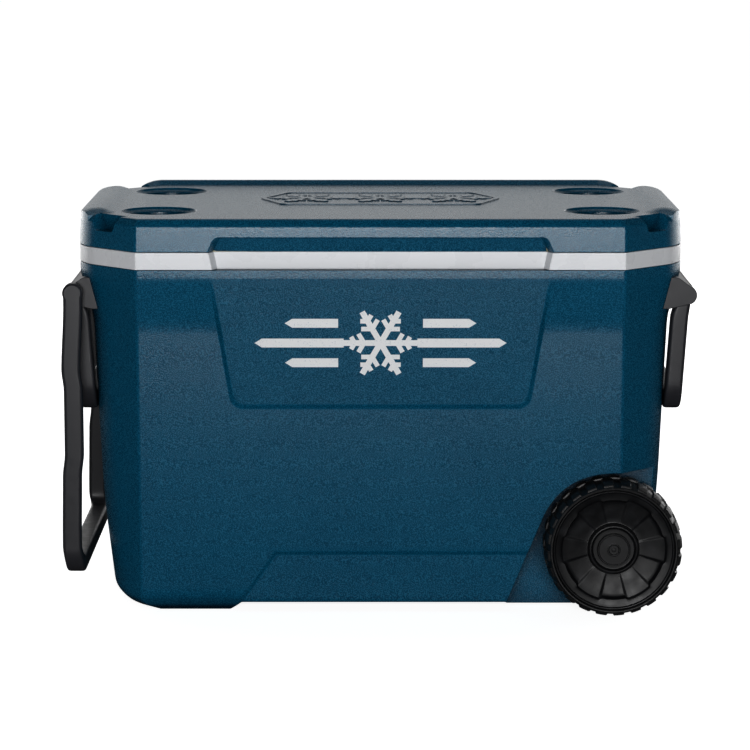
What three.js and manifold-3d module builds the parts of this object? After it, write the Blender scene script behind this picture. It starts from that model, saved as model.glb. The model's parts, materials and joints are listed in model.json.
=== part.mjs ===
// A hard cooler on two wheels: insulated chest, hinged lid, tow handle and two lifting handles.
// Millimetres, +Z up. +X points to the wheel end, -Y to the front, and the floor is z = 0.
import * as THREE from 'three';
import { mergeVertices } from 'three/addons/utils/BufferGeometryUtils.js';
import Module from 'manifold-3d';

const wasm = await Module();
wasm.setup();

// ---------------------------------------------------------------- driving dimensions
const GAP = 0.3; // between pieces that touch
const WALL = 3.5; // moulded outer walls
const LINER_WALL = 2.5;

const RIM = { halfLength: 333, halfDepth: 200, top: 385, stripBottom: 374 };
const CREASE_X = 267; // where the flat front meets the corner facet
const CORNER_RADIUS = 70;
const WALL_DRAFT = THREE.MathUtils.degToRad(3);
const CENTRING = new THREE.Vector3(2, -5, 0); // puts the whole object's box over the origin

const LID = { bandBottom: 385.3, bandTop: 404.2, shellBottom: 404.5, shoulder: 435, top: 440, lipTop: 445 };
const LID_EDGE_BEVEL = 8;
const LID_WALL = 3;

const LINER = { inset: 32, floor: 32, footHalfLength: 270, footHalfDepth: 143, humpTop: 170 };
const RIM_LEDGE = 12; // coloured ledge between the outer face and the white liner
const RIM_FLANGE = 3.2;

const PANEL = { topHalf: 185, bottomHalf: 161, top: 379, bottom: 233.5, radius: 10, rise: 8.5, slope: 6 };
const FOOT_RISE = 10; // how far the middle of the underside stands off the floor
const FOOT_END_X = -168;
const ARCH_X = 141; // where the wheel arch meets the underside
const POCKET_WALL_Y = 138;
const SUNK_FIELD_Y = 167.5; // the sunk fields' floor where it would meet the ground

const WHEEL = { x: 256, radius: 76, inner: 143, outer: 203, discRadius: 67, axleRadius: 6.5 };
const TREAD = { lugs: 24, depth: 4, hollow: 0.42 };
const DISC_SPOKES = 6;

const CUP = { x: 245, y: 108, outer: 42, inner: 35.5, step: 4, depth: 14 };
const POCKET = { x: 303, y: 168, topHalf: 26, bottomHalf: 13, depth: 17, reach: 21 };
const NOTCH = { bottomHalf: 186, topHalf: 179, top: 420, depth: 13 };

const HINGE = { xs: [-200, 0, 200], y: 208, z: 391, barrel: 5, pin: 2, half: 22, middle: 10, plate: 3 };
const LIFT = { x: 335.5, z: 350, eye: 8, armY: [108, 130], gripBottom: 218, gripTop: 240 };
const TOW = { x: -337.5, z: 354.5, eye: 11, armY: [147, 162], gripBottom: 38.6, gripTop: 58, thickness: 20 };
const BRACKET = { halfWidth: 143, pinRadius: 4, slotTop: 359 };
const DRAIN = { y: 0, z: 52, radius: 13, capRadius: 19, x: -303 };

const SIDES = { screw: 6, pin: 8, turned: 12, cup: 18, wheel: 24 }; // of each round piece

// ---------------------------------------------------------------- materials
const material = (color, roughness, metalness = 0) =>
  new THREE.MeshStandardMaterial({ color, roughness, metalness });
const SHELL_BLUE = () => material('#0f3f57', 0.5);
const LINER_WHITE = () => material('#d9dde1', 0.35);
const SATIN_BLACK = () => material('#17181a', 0.4);
const TYRE_BLACK = () => material('#101112', 0.6);
const FOAM = () => material('#e6dcb0', 0.9);
const STEEL = () => material('#a9adb0', 0.35, 1);

// ---------------------------------------------------------------- solids
/** A closed three.js geometry as a solid that can be joined and cut. */
function solid(geometry) {
  const bare = geometry.clone();
  bare.deleteAttribute('normal');
  bare.deleteAttribute('uv');
  const merged = mergeVertices(bare, 1e-4);
  const mesh = new wasm.Mesh({
    numProp: 3,
    vertProperties: new Float32Array(merged.attributes.position.array),
    triVerts: new Uint32Array(merged.index.array),
  });
  return new wasm.Manifold(mesh);
}

/** A solid's surface as a three.js geometry with flat normals. */
function geometryOf(body) {
  const { vertProperties, triVerts } = body.getMesh();
  const indexed = new THREE.BufferGeometry();
  indexed.setAttribute('position', new THREE.BufferAttribute(vertProperties, 3));
  indexed.setIndex(new THREE.BufferAttribute(triVerts, 1));
  const flat = indexed.toNonIndexed();
  flat.computeVertexNormals();
  return flat;
}

/** Stacks closed outlines with equal point counts, lowest first: [[z, points], ...]. */
function loft(levels) {
  const count = levels[0][1].length;
  const positions = levels.flatMap(([z, points]) => points.flatMap((p) => [p.x, p.y, z]));
  const index = [];
  for (let level = 0; level + 1 < levels.length; level += 1) {
    for (let i = 0; i < count; i += 1) {
      const next = (i + 1) % count;
      const [a, b] = [level * count + i, level * count + next];
      index.push(a, b, b + count, a, b + count, a + count);
    }
  }
  const last = (levels.length - 1) * count;
  for (const [a, b, c] of THREE.ShapeUtils.triangulateShape(levels[0][1], [])) index.push(a, c, b);
  for (const [a, b, c] of THREE.ShapeUtils.triangulateShape(levels.at(-1)[1], [])) {
    index.push(a + last, b + last, c + last);
  }
  const geometry = new THREE.BufferGeometry();
  geometry.setAttribute('position', new THREE.BufferAttribute(new Float32Array(positions), 3));
  geometry.setIndex(index);
  return solid(geometry);
}

const polygon = (...points) => new THREE.Shape(points.map(([x, y]) => new THREE.Vector2(x, y)));

/** An outline drawn in X and Z, as a slab from y0 to y1. */
function slabAlongY(shape, y0, y1, options = {}) {
  const geometry = new THREE.ExtrudeGeometry(shape, { depth: y1 - y0, bevelEnabled: false, ...options });
  geometry.rotateX(Math.PI / 2);
  geometry.translate(0, y1, 0);
  return solid(geometry);
}

/** An outline drawn in Y and Z, as a slab from x0 to x1. */
function slabAlongX(shape, x0, x1, options = {}) {
  const geometry = new THREE.ExtrudeGeometry(shape, { depth: x1 - x0, bevelEnabled: false, ...options });
  const [x, y, z] = [new THREE.Vector3(1, 0, 0), new THREE.Vector3(0, 1, 0), new THREE.Vector3(0, 0, 1)];
  geometry.applyMatrix4(new THREE.Matrix4().makeBasis(y, z, x));
  geometry.translate(x0, 0, 0);
  return solid(geometry);
}

function box(x0, x1, y0, y1, z0, z1) {
  const geometry = new THREE.BoxGeometry(x1 - x0, y1 - y0, z1 - z0);
  geometry.translate((x0 + x1) / 2, (y0 + y1) / 2, (z0 + z1) / 2);
  return solid(geometry);
}

/** A rod along 'x', 'y' or 'z' between two places on that axis. */
function rod(axis, from, to, radius, centre, sides = SIDES.turned) {
  const geometry = new THREE.CylinderGeometry(radius, radius, to - from, sides);
  if (axis === 'x') geometry.rotateZ(Math.PI / 2);
  if (axis === 'z') geometry.rotateX(Math.PI / 2);
  const place = { x: centre.x ?? 0, y: centre.y ?? 0, z: centre.z ?? 0, [axis]: (from + to) / 2 };
  geometry.translate(place.x, place.y, place.z);
  return solid(geometry);
}

/** Corner radius of a many-sided bore that a rod of that radius turns in with the usual gap. */
const boreRadius = (radius, sides) => (radius + GAP) / Math.cos(Math.PI / sides);

/** A solid of revolution about a line along Y. Profile points are [radius, y], closed. */
function turnedAboutY(profile, sides) {
  const points = [...profile, profile[0]].map(([r, y]) => new THREE.Vector2(r, y));
  return solid(new THREE.LatheGeometry(points, sides));
}

const joined = (bodies) => bodies.reduce((all, one) => all.add(one));
const cut = (body, ...tools) => tools.reduce((rest, tool) => rest.subtract(tool), body);
const inFront = (body) => body.mirror([0, 1, 0]);
const mirrored = (body) => body.mirror([1, 0, 0]);
const frontAndBack = (body) => body.add(inFront(body));
const fourCorners = (body) => frontAndBack(body.add(mirrored(body)));

// ---------------------------------------------------------------- the plan outline
/**
 * Plan outline: flat front and back, 45-degree corner facets and rounded ends.
 * inset moves the whole outline inwards by that much.
 */
function plan(halfLength, halfDepth, inset = 0) {
  const radius = CORNER_RADIUS - inset;
  const length = halfLength - inset;
  const depth = halfDepth - inset;
  const facetX = length - radius * (1 - Math.SQRT1_2);
  const crease = Math.min(CREASE_X, halfLength - 24) - inset * Math.tan(Math.PI / 8);
  const facetY = depth - (facetX - crease);
  const centre = { x: length - radius, y: facetY - radius * Math.SQRT1_2 };
  const quarter = [];
  const steps = 3;
  for (let i = 0; i <= steps; i += 1) {
    const angle = ((Math.PI / 4) * i) / steps;
    quarter.push([centre.x + radius * Math.cos(angle), centre.y + radius * Math.sin(angle)]);
  }
  quarter.push([crease, depth]);
  const left = quarter.map(([x, y]) => [-x, y]).reverse();
  const upper = [...quarter, ...left];
  const lower = upper.map(([x, y]) => [-x, -y]);
  return [...upper, ...lower].map(([x, y]) => new THREE.Vector2(x, y));
}

/** Outer faces of the chest from the feet to the rim: [z, half length, half depth]. */
const CHEST_LEVELS = [
  [0, 268, 158],
  [6, 282, 165],
  [20, 296, 172],
  [31, 300, 173],
  [106, 308, 177],
  [323, 319.5, 188],
  [RIM.stripBottom, RIM.halfLength, RIM.halfDepth],
  [RIM.top, RIM.halfLength, RIM.halfDepth],
];

/** The chest's outer solid, shrunk by inset (or grown, when inset is negative) between two heights. */
function chestSolid(inset, bottom = 0, top = RIM.top) {
  const inside = CHEST_LEVELS.filter(([z]) => z > bottom && z < top);
  const at = (height) => {
    const above = CHEST_LEVELS.findIndex(([z]) => z >= height);
    if (above <= 0) return [height, CHEST_LEVELS[0][1], CHEST_LEVELS[0][2]];
    const [z0, l0, d0] = CHEST_LEVELS[above - 1];
    const [z1, l1, d1] = CHEST_LEVELS[above];
    const t = (height - z0) / (z1 - z0);
    return [height, l0 + (l1 - l0) * t, d0 + (d1 - d0) * t];
  };
  const levels = [at(bottom), ...inside, at(top)];
  return loft(levels.map(([z, l, d]) => [z, plan(l, d, inset)]));
}

// ---------------------------------------------------------------- chest
/** Wheel arch seen from the front, drawn in X and Z, grown outwards by extra. */
function archShape(extra) {
  const shape = new THREE.Shape();
  shape.moveTo(ARCH_X - 6 - extra, -20);
  shape.lineTo(ARCH_X - extra, 13);
  shape.lineTo(180 - extra, 110);
  shape.quadraticCurveTo(202 - extra * 0.6, 157 + extra, 256, 158 + extra);
  shape.lineTo(360, 158 + extra);
  shape.lineTo(360, -20);
  shape.closePath();
  return shape;
}

function wheelPockets(extra) {
  return frontAndBack(slabAlongY(archShape(extra), POCKET_WALL_Y - extra, 260, { curveSegments: 5 }));
}

/** Raised field on the front and back, with sloped edges, leaning with the wall. */
function raisedPanels() {
  const { topHalf, bottomHalf, top, bottom, radius, rise, slope } = PANEL;
  const lean = (topHalf - bottomHalf) / (top - bottom);
  const shape = new THREE.Shape();
  shape.moveTo(-topHalf, top);
  shape.lineTo(-bottomHalf - lean * radius, bottom + radius);
  shape.quadraticCurveTo(-bottomHalf, bottom, -bottomHalf + radius, bottom);
  shape.lineTo(bottomHalf - radius, bottom);
  shape.quadraticCurveTo(bottomHalf, bottom, bottomHalf + lean * radius, bottom + radius);
  shape.lineTo(topHalf, top);
  shape.closePath();
  const sunk = 12;
  const geometry = new THREE.ExtrudeGeometry(shape, {
    depth: sunk,
    bevelThickness: rise,
    bevelSize: slope,
    bevelOffset: -slope,
    bevelSegments: 1,
    curveSegments: 4,
  });
  geometry.translate(0, -top, 0);
  geometry.rotateX(Math.PI / 2 - THREE.MathUtils.degToRad(2));
  geometry.translate(0, -(RIM.halfDepth - 1) + rise, top);
  const bounds = box(-300, 300, -RIM.halfDepth, 0, bottom - slope, RIM.top - 1);
  return frontAndBack(solid(geometry).intersect(bounds));
}

/**
 * Shallow sunk field low on the front and back, running from near the foot to the wheel arch.
 * extra grows it, for the wall behind it.
 */
function sunkFields(extra) {
  const shape = polygon(
    [-116 - extra, 67 + extra],
    [170, 67 + extra],
    [170, -12],
    [-158 - extra, -12],
    [-154 - extra, 12],
  );
  const geometry = new THREE.ExtrudeGeometry(shape, { depth: 40, bevelEnabled: false });
  geometry.rotateX(Math.PI / 2 + WALL_DRAFT);
  geometry.translate(0, -SUNK_FIELD_Y + extra, 0);
  return frontAndBack(solid(geometry));
}

/** What the underside is hollowed by between the feet. */
function undersideHollow() {
  const middle = polygon(
    [FOOT_END_X, -1],
    [FOOT_END_X + 14, FOOT_RISE],
    [ARCH_X - 10, FOOT_RISE],
    [ARCH_X, 2],
    [ARCH_X, -1],
  );
  const wheelEnd = polygon([ARCH_X, -1], [ARCH_X, 2], [320, 2], [320, -1]);
  const betweenFeet = polygon([-90, -1], [-80, 5], [80, 5], [90, -1]);
  return joined([
    slabAlongY(middle, -220, 220),
    slabAlongY(wheelEnd, -220, 220),
    slabAlongX(betweenFeet, -300, FOOT_END_X + 1),
  ]);
}

/** Flat pads on the back wall that the hinges are screwed to. */
function hingePads() {
  return joined(HINGE.xs.map((x) => box(x - 26, x + 26, 170, RIM.halfDepth, 342, 380)));
}

const drainBore = (radius, from, to) => rod('x', from, to, radius, { y: DRAIN.y, z: DRAIN.z }, SIDES.cup);
const drainSeat = (extra) => drainBore(DRAIN.capRadius + 4 + extra, -340, DRAIN.x + 9 + extra);

/** Everything between the shell's inner face and the open air, before the liner is taken out. */
function insulationSpace(inset) {
  const space = chestSolid(WALL + inset, FOOT_RISE + WALL + inset, RIM.top - RIM_FLANGE - inset);
  return cut(space, wheelPockets(WALL + inset), sunkFields(WALL + inset), drainSeat(WALL + inset));
}

/** The liner's outer faces, grown by extra: a tapered tub with a raised step over the wheels. */
function linerTub(extra, bottom, top) {
  const foot = [LINER.footHalfLength + extra, LINER.footHalfDepth + extra];
  const mouth = [RIM.halfLength - LINER.inset + extra, RIM.halfDepth - LINER.inset + extra];
  const tub = loft([
    [bottom, plan(foot[0] + LINER.inset, foot[1] + LINER.inset, LINER.inset)],
    [top, plan(mouth[0] + LINER.inset, mouth[1] + LINER.inset, LINER.inset)],
  ]);
  const step = polygon(
    [110 + extra, -10],
    [162 + extra, LINER.humpTop - 14 - extra],
    [176 + extra, LINER.humpTop - extra],
    [360, LINER.humpTop - extra],
    [360, -10],
  );
  return tub.subtract(slabAlongY(step, -220, 220));
}

function screwHole({ axis, shank, radius, centre }) {
  return rod(axis, shank[0] - GAP, shank[1], radius + GAP, centre, SIDES.screw);
}

function bodyShell(screws) {
  const ledge = loft([
    [300, plan(RIM.halfLength, RIM.halfDepth, RIM_LEDGE)],
    [400, plan(RIM.halfLength, RIM.halfDepth, RIM_LEDGE)],
  ]);
  const mouth = ledge.intersect(box(-400, 400, -300, 300, 375, 400));
  const outside = cut(
    chestSolid(0).add(raisedPanels()).add(hingePads()),
    wheelPockets(0),
    sunkFields(0),
    undersideHollow(),
    drainSeat(0),
  );
  return cut(
    outside,
    insulationSpace(0),
    mouth,
    drainBore(DRAIN.radius + GAP, -340, -250),
    rod('y', -200, 200, WHEEL.axleRadius + GAP, { x: WHEEL.x, z: WHEEL.radius }),
    ...screws.map(screwHole),
  );
}

function bodyFoam() {
  return cut(
    insulationSpace(GAP),
    linerTub(GAP, LINER.floor - GAP, RIM.top + 1),
    drainBore(DRAIN.radius + GAP, -340, -200),
    rod('y', -200, 200, WHEEL.axleRadius + GAP, { x: WHEEL.x, z: WHEEL.radius }),
  );
}

function bodyLiner() {
  const flange = loft([
    [RIM.top - RIM_FLANGE + GAP, plan(RIM.halfLength, RIM.halfDepth, RIM_LEDGE + GAP)],
    [RIM.top, plan(RIM.halfLength, RIM.halfDepth, RIM_LEDGE + GAP)],
  ]);
  const tub = linerTub(0, LINER.floor, RIM.top);
  return cut(
    flange.add(tub),
    linerTub(-LINER_WALL, LINER.floor + LINER_WALL, RIM.top + 1),
    drainBore(DRAIN.radius + GAP, -340, -200),
  );
}

/** Drain tube with a flange against its seat, running through the foam to the inside floor. */
function drainSpout() {
  const seat = DRAIN.x + 9;
  const inner = -264;
  return cut(
    drainBore(DRAIN.radius, seat - 6, inner).add(drainBore(DRAIN.radius + 3, seat - 3.3, seat - GAP)),
    drainBore(DRAIN.radius - 3, seat - 10, inner + 1),
  );
}

/** Screw-on drain cap with a grip bar across it. */
function drainCap() {
  const seat = DRAIN.x + 9;
  const cap = drainBore(DRAIN.capRadius, seat - 11, seat - 3.6);
  const bar = box(seat - 15, seat - 10, -3, 3, DRAIN.z - 14, DRAIN.z + 14);
  return cut(cap.add(bar), drainBore(DRAIN.radius + GAP, seat - 7, seat));
}

// ---------------------------------------------------------------- lid
/** Four round cup holders, each with a shallow outer step. */
function cupHolders(extra) {
  const stepZ = LID.top - CUP.step;
  const wide = rod('z', stepZ - extra, LID.top + 20, CUP.outer + extra, CUP, SIDES.cup);
  const deep = rod('z', LID.top - CUP.depth - extra, stepZ + 1, CUP.inner + extra, CUP, SIDES.cup);
  return fourCorners(wide.add(deep));
}

/** Notches on the four corner facets, open outwards and upwards. */
function cornerPockets(extra) {
  const { topHalf, bottomHalf, depth, reach } = POCKET;
  const shape = polygon(
    [-bottomHalf - extra, LID.top - depth - extra],
    [bottomHalf + extra, LID.top - depth - extra],
    [topHalf + extra, LID.top + 12],
    [-topHalf - extra, LID.top + 12],
  );
  const geometry = new THREE.ExtrudeGeometry(shape, { depth: reach + extra + 30, bevelEnabled: false });
  geometry.rotateX(Math.PI / 2);
  geometry.translate(0, reach + extra, 0);
  geometry.rotateZ(Math.PI / 4);
  geometry.translate(POCKET.x, -POCKET.y, 0);
  return fourCorners(solid(geometry));
}

/** Finger notch under the front edge of the lid's top shell. */
function fingerNotch(extra) {
  const { bottomHalf, topHalf, top, depth } = NOTCH;
  const shape = polygon(
    [-bottomHalf - extra, 390],
    [bottomHalf + extra, 390],
    [bottomHalf + extra, LID.shellBottom],
    [topHalf + extra, top + extra - 4],
    [topHalf - 4, top + extra],
    [-topHalf + 4, top + extra],
    [-topHalf - extra, top + extra - 4],
    [-bottomHalf - extra, LID.shellBottom],
  );
  return slabAlongY(shape, -RIM.halfDepth - 5, -RIM.halfDepth + depth + extra);
}

/** The same notch carried down through the white band, with ends that slant inwards. */
function bandRecess(extra) {
  const shape = polygon(
    [-NOTCH.bottomHalf + 10 - extra, 384],
    [NOTCH.bottomHalf - 10 + extra, 384],
    [NOTCH.bottomHalf + extra, LID.bandTop + 1],
    [-NOTCH.bottomHalf - extra, LID.bandTop + 1],
  );
  return slabAlongY(shape, -RIM.halfDepth - 5, -RIM.halfDepth + NOTCH.depth - 2 + extra);
}

const lidPlan = (inset) => plan(RIM.halfLength, RIM.halfDepth, inset);

function lidShell(screws) {
  const { shellBottom, shoulder, top, lipTop } = LID;
  const slab = loft([
    [shellBottom, lidPlan(0)],
    [shoulder, lidPlan(0)],
    [shoulder + 3.5, lidPlan(2)],
    [top, lidPlan(LID_EDGE_BEVEL)],
  ]);
  const lipShape = polygon(
    [-286, 430],
    [286, 430],
    [273, lipTop - 2],
    [269, lipTop],
    [-269, lipTop],
    [-273, lipTop - 2],
  );
  const backLip = slabAlongY(lipShape, RIM.halfDepth - 14, RIM.halfDepth - 1);
  const lidBox = loft([
    [shellBottom, lidPlan(0)],
    [lipTop, lidPlan(2)],
  ]);
  const bolsterTop = 443.5;
  const bolsterShape = polygon(
    [300, 430],
    [331, 430],
    [329, 441],
    [325, bolsterTop],
    [314, bolsterTop],
    [304, top - 1],
  );
  const bolster = slabAlongY(bolsterShape, -135, 135);
  const outside = slab.add(lidBox.intersect(joined([backLip, bolster, mirrored(bolster)])));
  const room = loft([
    [shellBottom - 1, lidPlan(LID_WALL)],
    [top - LID_WALL, lidPlan(LID_WALL)],
  ]);
  const features = (extra) => [cupHolders(extra), cornerPockets(extra), fingerNotch(extra)];
  return cut(outside, cut(room, ...features(LID_WALL)), ...features(0), ...screws.map(screwHole));
}

const PLUG = { inset: LINER.inset + 4, bottom: 378 };

function lidLiner() {
  const band = loft([
    [LID.bandBottom, lidPlan(0)],
    [LID.bandTop, lidPlan(0)],
  ]);
  const plug = loft([
    [PLUG.bottom, lidPlan(PLUG.inset + 1)],
    [LID.bandBottom + 1, lidPlan(PLUG.inset)],
  ]);
  const tray = loft([
    [LID.bandBottom + LID_WALL, lidPlan(LID_WALL)],
    [LID.bandTop + 1, lidPlan(LID_WALL)],
  ]);
  const plugRoom = loft([
    [PLUG.bottom + LID_WALL, lidPlan(PLUG.inset + LID_WALL)],
    [LID.bandBottom + LID_WALL + 1, lidPlan(PLUG.inset + LID_WALL)],
  ]);
  return cut(band.add(plug), tray.subtract(bandRecess(LID_WALL)), plugRoom, bandRecess(0));
}

function lidFoam() {
  const slab = loft([
    [LID.bandBottom + LID_WALL + GAP, lidPlan(LID_WALL + GAP)],
    [LID.top - LID_WALL - GAP, lidPlan(LID_WALL + GAP)],
  ]);
  const plug = loft([
    [PLUG.bottom + LID_WALL + GAP, lidPlan(PLUG.inset + LID_WALL + GAP)],
    [LID.bandBottom + LID_WALL + 1, lidPlan(PLUG.inset + LID_WALL + GAP)],
  ]);
  const around = LID_WALL + GAP;
  const hollows = [cupHolders, cornerPockets, fingerNotch, bandRecess].map((make) => make(around));
  return cut(slab.add(plug), ...hollows);
}

// ---------------------------------------------------------------- hinges
const HINGE_BACK = RIM.halfDepth + GAP;
const SCREW_HEAD = 2.2; // height of a screw head, and how far it overhangs the shank
const LEAF = { bodyBottom: 346, bodyTop: 384, lidBottom: 398, lidTop: 431 };

function hingeScrews(x, z) {
  return [-13, 13].map((dx) => ({
    axis: 'y',
    shank: [RIM.halfDepth - 3, HINGE_BACK + HINGE.plate + 1],
    radius: 1.8,
    centre: { x: x + dx, z },
    headFrom: HINGE_BACK + HINGE.plate + GAP,
  }));
}

const BODY_LEAF_SCREWS = HINGE.xs.flatMap((x) => hingeScrews(x, 357));
const LID_LEAF_SCREWS = HINGE.xs.flatMap((x) => hingeScrews(x, 418));

/** A leaf's flat plate behind the rim, between two heights. */
const leafPlate = (x0, x1, z0, z1) => box(x0, x1, HINGE_BACK, HINGE_BACK + HINGE.plate, z0, z1);

/** One knuckle: a barrel over part of the hinge width, tied to its leaf by a web. */
function knuckle(x0, x1, z0, z1) {
  const barrel = rod('x', x0, x1, HINGE.barrel, HINGE, SIDES.turned);
  return barrel.add(leafPlate(x0, x1, z0, z1));
}

function bodyLeaf(x) {
  const plate = leafPlate(x - HINGE.half, x + HINGE.half, LEAF.bodyBottom, LEAF.bodyTop);
  const leaf = plate.add(knuckle(x - HINGE.middle, x + HINGE.middle, LEAF.bodyTop - 1, HINGE.z));
  return cut(leaf, hingeBore(x), ...BODY_LEAF_SCREWS.map(screwHole));
}

function lidLeaf(x) {
  const inner = HINGE.middle + 0.4;
  const plate = leafPlate(x - HINGE.half, x + HINGE.half, LEAF.lidBottom, LEAF.lidTop);
  const leaf = joined([
    plate,
    knuckle(x - HINGE.half, x - inner, HINGE.z, LEAF.lidBottom + 1),
    knuckle(x + inner, x + HINGE.half, HINGE.z, LEAF.lidBottom + 1),
  ]);
  return cut(leaf, hingeBore(x), ...LID_LEAF_SCREWS.map(screwHole));
}

const hingeBore = (x) => rod('x', x - 40, x + 40, boreRadius(HINGE.pin, SIDES.screw), HINGE, SIDES.screw);

/** Hinge pin with a small head at each end. */
function hingePin(x) {
  const end = HINGE.half + GAP;
  return joined([
    rod('x', x - end - 2, x + end + 2, HINGE.pin, HINGE, SIDES.screw),
    rod('x', x - end - 2, x - end, HINGE.pin + 1.4, HINGE, SIDES.screw),
    rod('x', x + end, x + end + 2, HINGE.pin + 1.4, HINGE, SIDES.screw),
  ]);
}

/** A pan-head screw whose head sits on the outside of what it holds. */
function screwBody({ axis, shank, radius, centre, headFrom }) {
  const head = rod(axis, headFrom, headFrom + SCREW_HEAD, radius + SCREW_HEAD, centre, SIDES.pin);
  return head.add(rod(axis, shank[0], headFrom + 1, radius, centre, SIDES.screw));
}

// ---------------------------------------------------------------- end brackets and handles
/** Bracket profile at the wheel end, drawn in X and Z; its inner part is trimmed by the wall. */
function bracketShape() {
  const shape = new THREE.Shape();
  shape.moveTo(300, 370);
  shape.lineTo(327, 370);
  shape.lineTo(341, 360);
  shape.absarc(338, 350, 10.5, Math.PI * 0.4, -Math.PI * 0.35, true);
  shape.lineTo(318, 335);
  shape.lineTo(300, 335);
  shape.closePath();
  return shape;
}

const BRACKET_SCREWS = [-60, 0, 60].map((y) => ({
  axis: 'x',
  shank: [324.5, 349],
  radius: 2,
  centre: { y, z: 350 },
  headFrom: 345.8,
}));

function armSlots(extra) {
  const [near, far] = LIFT.armY;
  return frontAndBack(box(290, 370, near - extra, far + extra, 320, BRACKET.slotTop));
}

const LIFT_PIN = { from: LIFT.armY[0] - 12, to: LIFT.armY[1] + 5 };
const TOW_PIN = { from: LIFT_PIN.to + 1.5, to: TOW.armY[1] - 3 };
const PIN_BORE = boreRadius(BRACKET.pinRadius, SIDES.pin);

function bracket(side) {
  const whole = slabAlongY(bracketShape(), -BRACKET.halfWidth, BRACKET.halfWidth, { curveSegments: 5 });
  const wall = chestSolid(-GAP, 100, RIM.top);
  const counterbores = BRACKET_SCREWS.map(({ centre, headFrom }) =>
    rod('x', headFrom - GAP, 360, 5, centre, SIDES.pin),
  );
  const liftBore = rod('y', LIFT_PIN.from - GAP, LIFT_PIN.to + GAP, PIN_BORE, LIFT, SIDES.pin);
  const body = cut(
    whole,
    wall,
    armSlots(0.8),
    ...counterbores,
    ...BRACKET_SCREWS.map(screwHole),
    liftBore,
    inFront(liftBore),
  );
  if (side > 0) return body;
  const towBore = rod('y', TOW_PIN.from - GAP, 200, PIN_BORE, TOW, SIDES.pin);
  return cut(mirrored(body), towBore, inFront(towBore));
}

/** Lifting handle at the wheel end: two arms and a round-cornered grip, leaning in with the wall. */
function liftHandle() {
  const [near, far] = LIFT.armY;
  const chamfer = 14;
  const outline = polygon(
    [-far, LIFT.z],
    [-far, LIFT.gripBottom + chamfer],
    [-far + chamfer, LIFT.gripBottom],
    [far - chamfer, LIFT.gripBottom],
    [far, LIFT.gripBottom + chamfer],
    [far, LIFT.z],
    [near, LIFT.z],
    [near, LIFT.gripTop + 8],
    [near - 8, LIFT.gripTop],
    [-near + 8, LIFT.gripTop],
    [-near, LIFT.gripTop + 8],
    [-near, LIFT.z],
  );
  const frame = slabAlongX(outline, 290, 360);
  const side = polygon(
    [LIFT.x - LIFT.eye, LIFT.z],
    [LIFT.x - LIFT.eye, 341],
    [321.5, 322],
    [315.8, 231],
    [316.5, LIFT.gripBottom],
    [332, LIFT.gripBottom],
    [334.5, 231],
    [342, 331],
    [LIFT.x + LIFT.eye, LIFT.z],
  );
  const profile = slabAlongY(side, -200, 200);
  const eye = rod('y', near, far, LIFT.eye, LIFT);
  const bore = rod('y', -200, 200, PIN_BORE, LIFT, SIDES.pin);
  return cut(joined([frame.intersect(profile), eye, inFront(eye)]), bore);
}

/** Tow handle: a wide loop outside the bracket at the other end, bowed slightly outwards. */
function towHandle() {
  const [near, far] = TOW.armY;
  const corner = 28;
  const outline = polygon(
    [-far, TOW.z],
    [-far, TOW.gripBottom + corner],
    [-far + corner * 0.7, TOW.gripBottom],
    [far - corner * 0.7, TOW.gripBottom],
    [far, TOW.gripBottom + corner],
    [far, TOW.z],
    [near, TOW.z],
    [near, TOW.gripTop + corner * 0.7],
    [near - corner * 0.5, TOW.gripTop],
    [-near + corner * 0.5, TOW.gripTop],
    [-near, TOW.gripTop + corner * 0.7],
    [-near, TOW.z],
  );
  const frame = slabAlongX(outline, -400, -300);
  const side = new THREE.Shape();
  const half = TOW.thickness / 2;
  const middle = (TOW.z + TOW.gripBottom) / 2;
  side.moveTo(TOW.x + TOW.eye, TOW.z);
  side.lineTo(TOW.x - TOW.eye, TOW.z);
  side.quadraticCurveTo(TOW.x - half - 8, middle, TOW.x - half - 3, TOW.gripBottom + 18);
  side.lineTo(TOW.x - half + 1, TOW.gripBottom);
  side.lineTo(TOW.x + half - 3, TOW.gripBottom);
  side.lineTo(TOW.x + half - 1, TOW.gripBottom + 18);
  side.quadraticCurveTo(TOW.x + half - 8, middle, TOW.x + TOW.eye, TOW.z);
  const profile = slabAlongY(side, -200, 200, { curveSegments: 5 });
  const eye = rod('y', near, far, TOW.eye, TOW);
  const bore = rod('y', -(TOW_PIN.to + GAP), TOW_PIN.to + GAP, PIN_BORE, TOW, SIDES.pin);
  return cut(joined([frame.intersect(profile), eye, inFront(eye)]), bore);
}

// ---------------------------------------------------------------- wheels and axle
/** One row of tread lugs: a toothed ring between y0 and y1, turned by phase lugs. */
function treadRow(y0, y1, phase) {
  const shape = new THREE.Shape();
  const root = WHEEL.radius - TREAD.depth;
  for (let lug = 0; lug < TREAD.lugs; lug += 1) {
    const corners = [
      [root, 0],
      [root, TREAD.hollow],
      [WHEEL.radius, TREAD.hollow + 0.08],
      [WHEEL.radius, 0.92],
    ];
    for (const [radius, share] of corners) {
      const angle = ((lug + share + phase) / TREAD.lugs) * Math.PI * 2;
      const [x, y] = [radius * Math.cos(angle), radius * Math.sin(angle)];
      if (shape.curves.length === 0 && lug === 0 && share === 0) shape.moveTo(x, y);
      else shape.lineTo(x, y);
    }
  }
  shape.closePath();
  return slabAlongY(shape, y0, y1);
}

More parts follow.
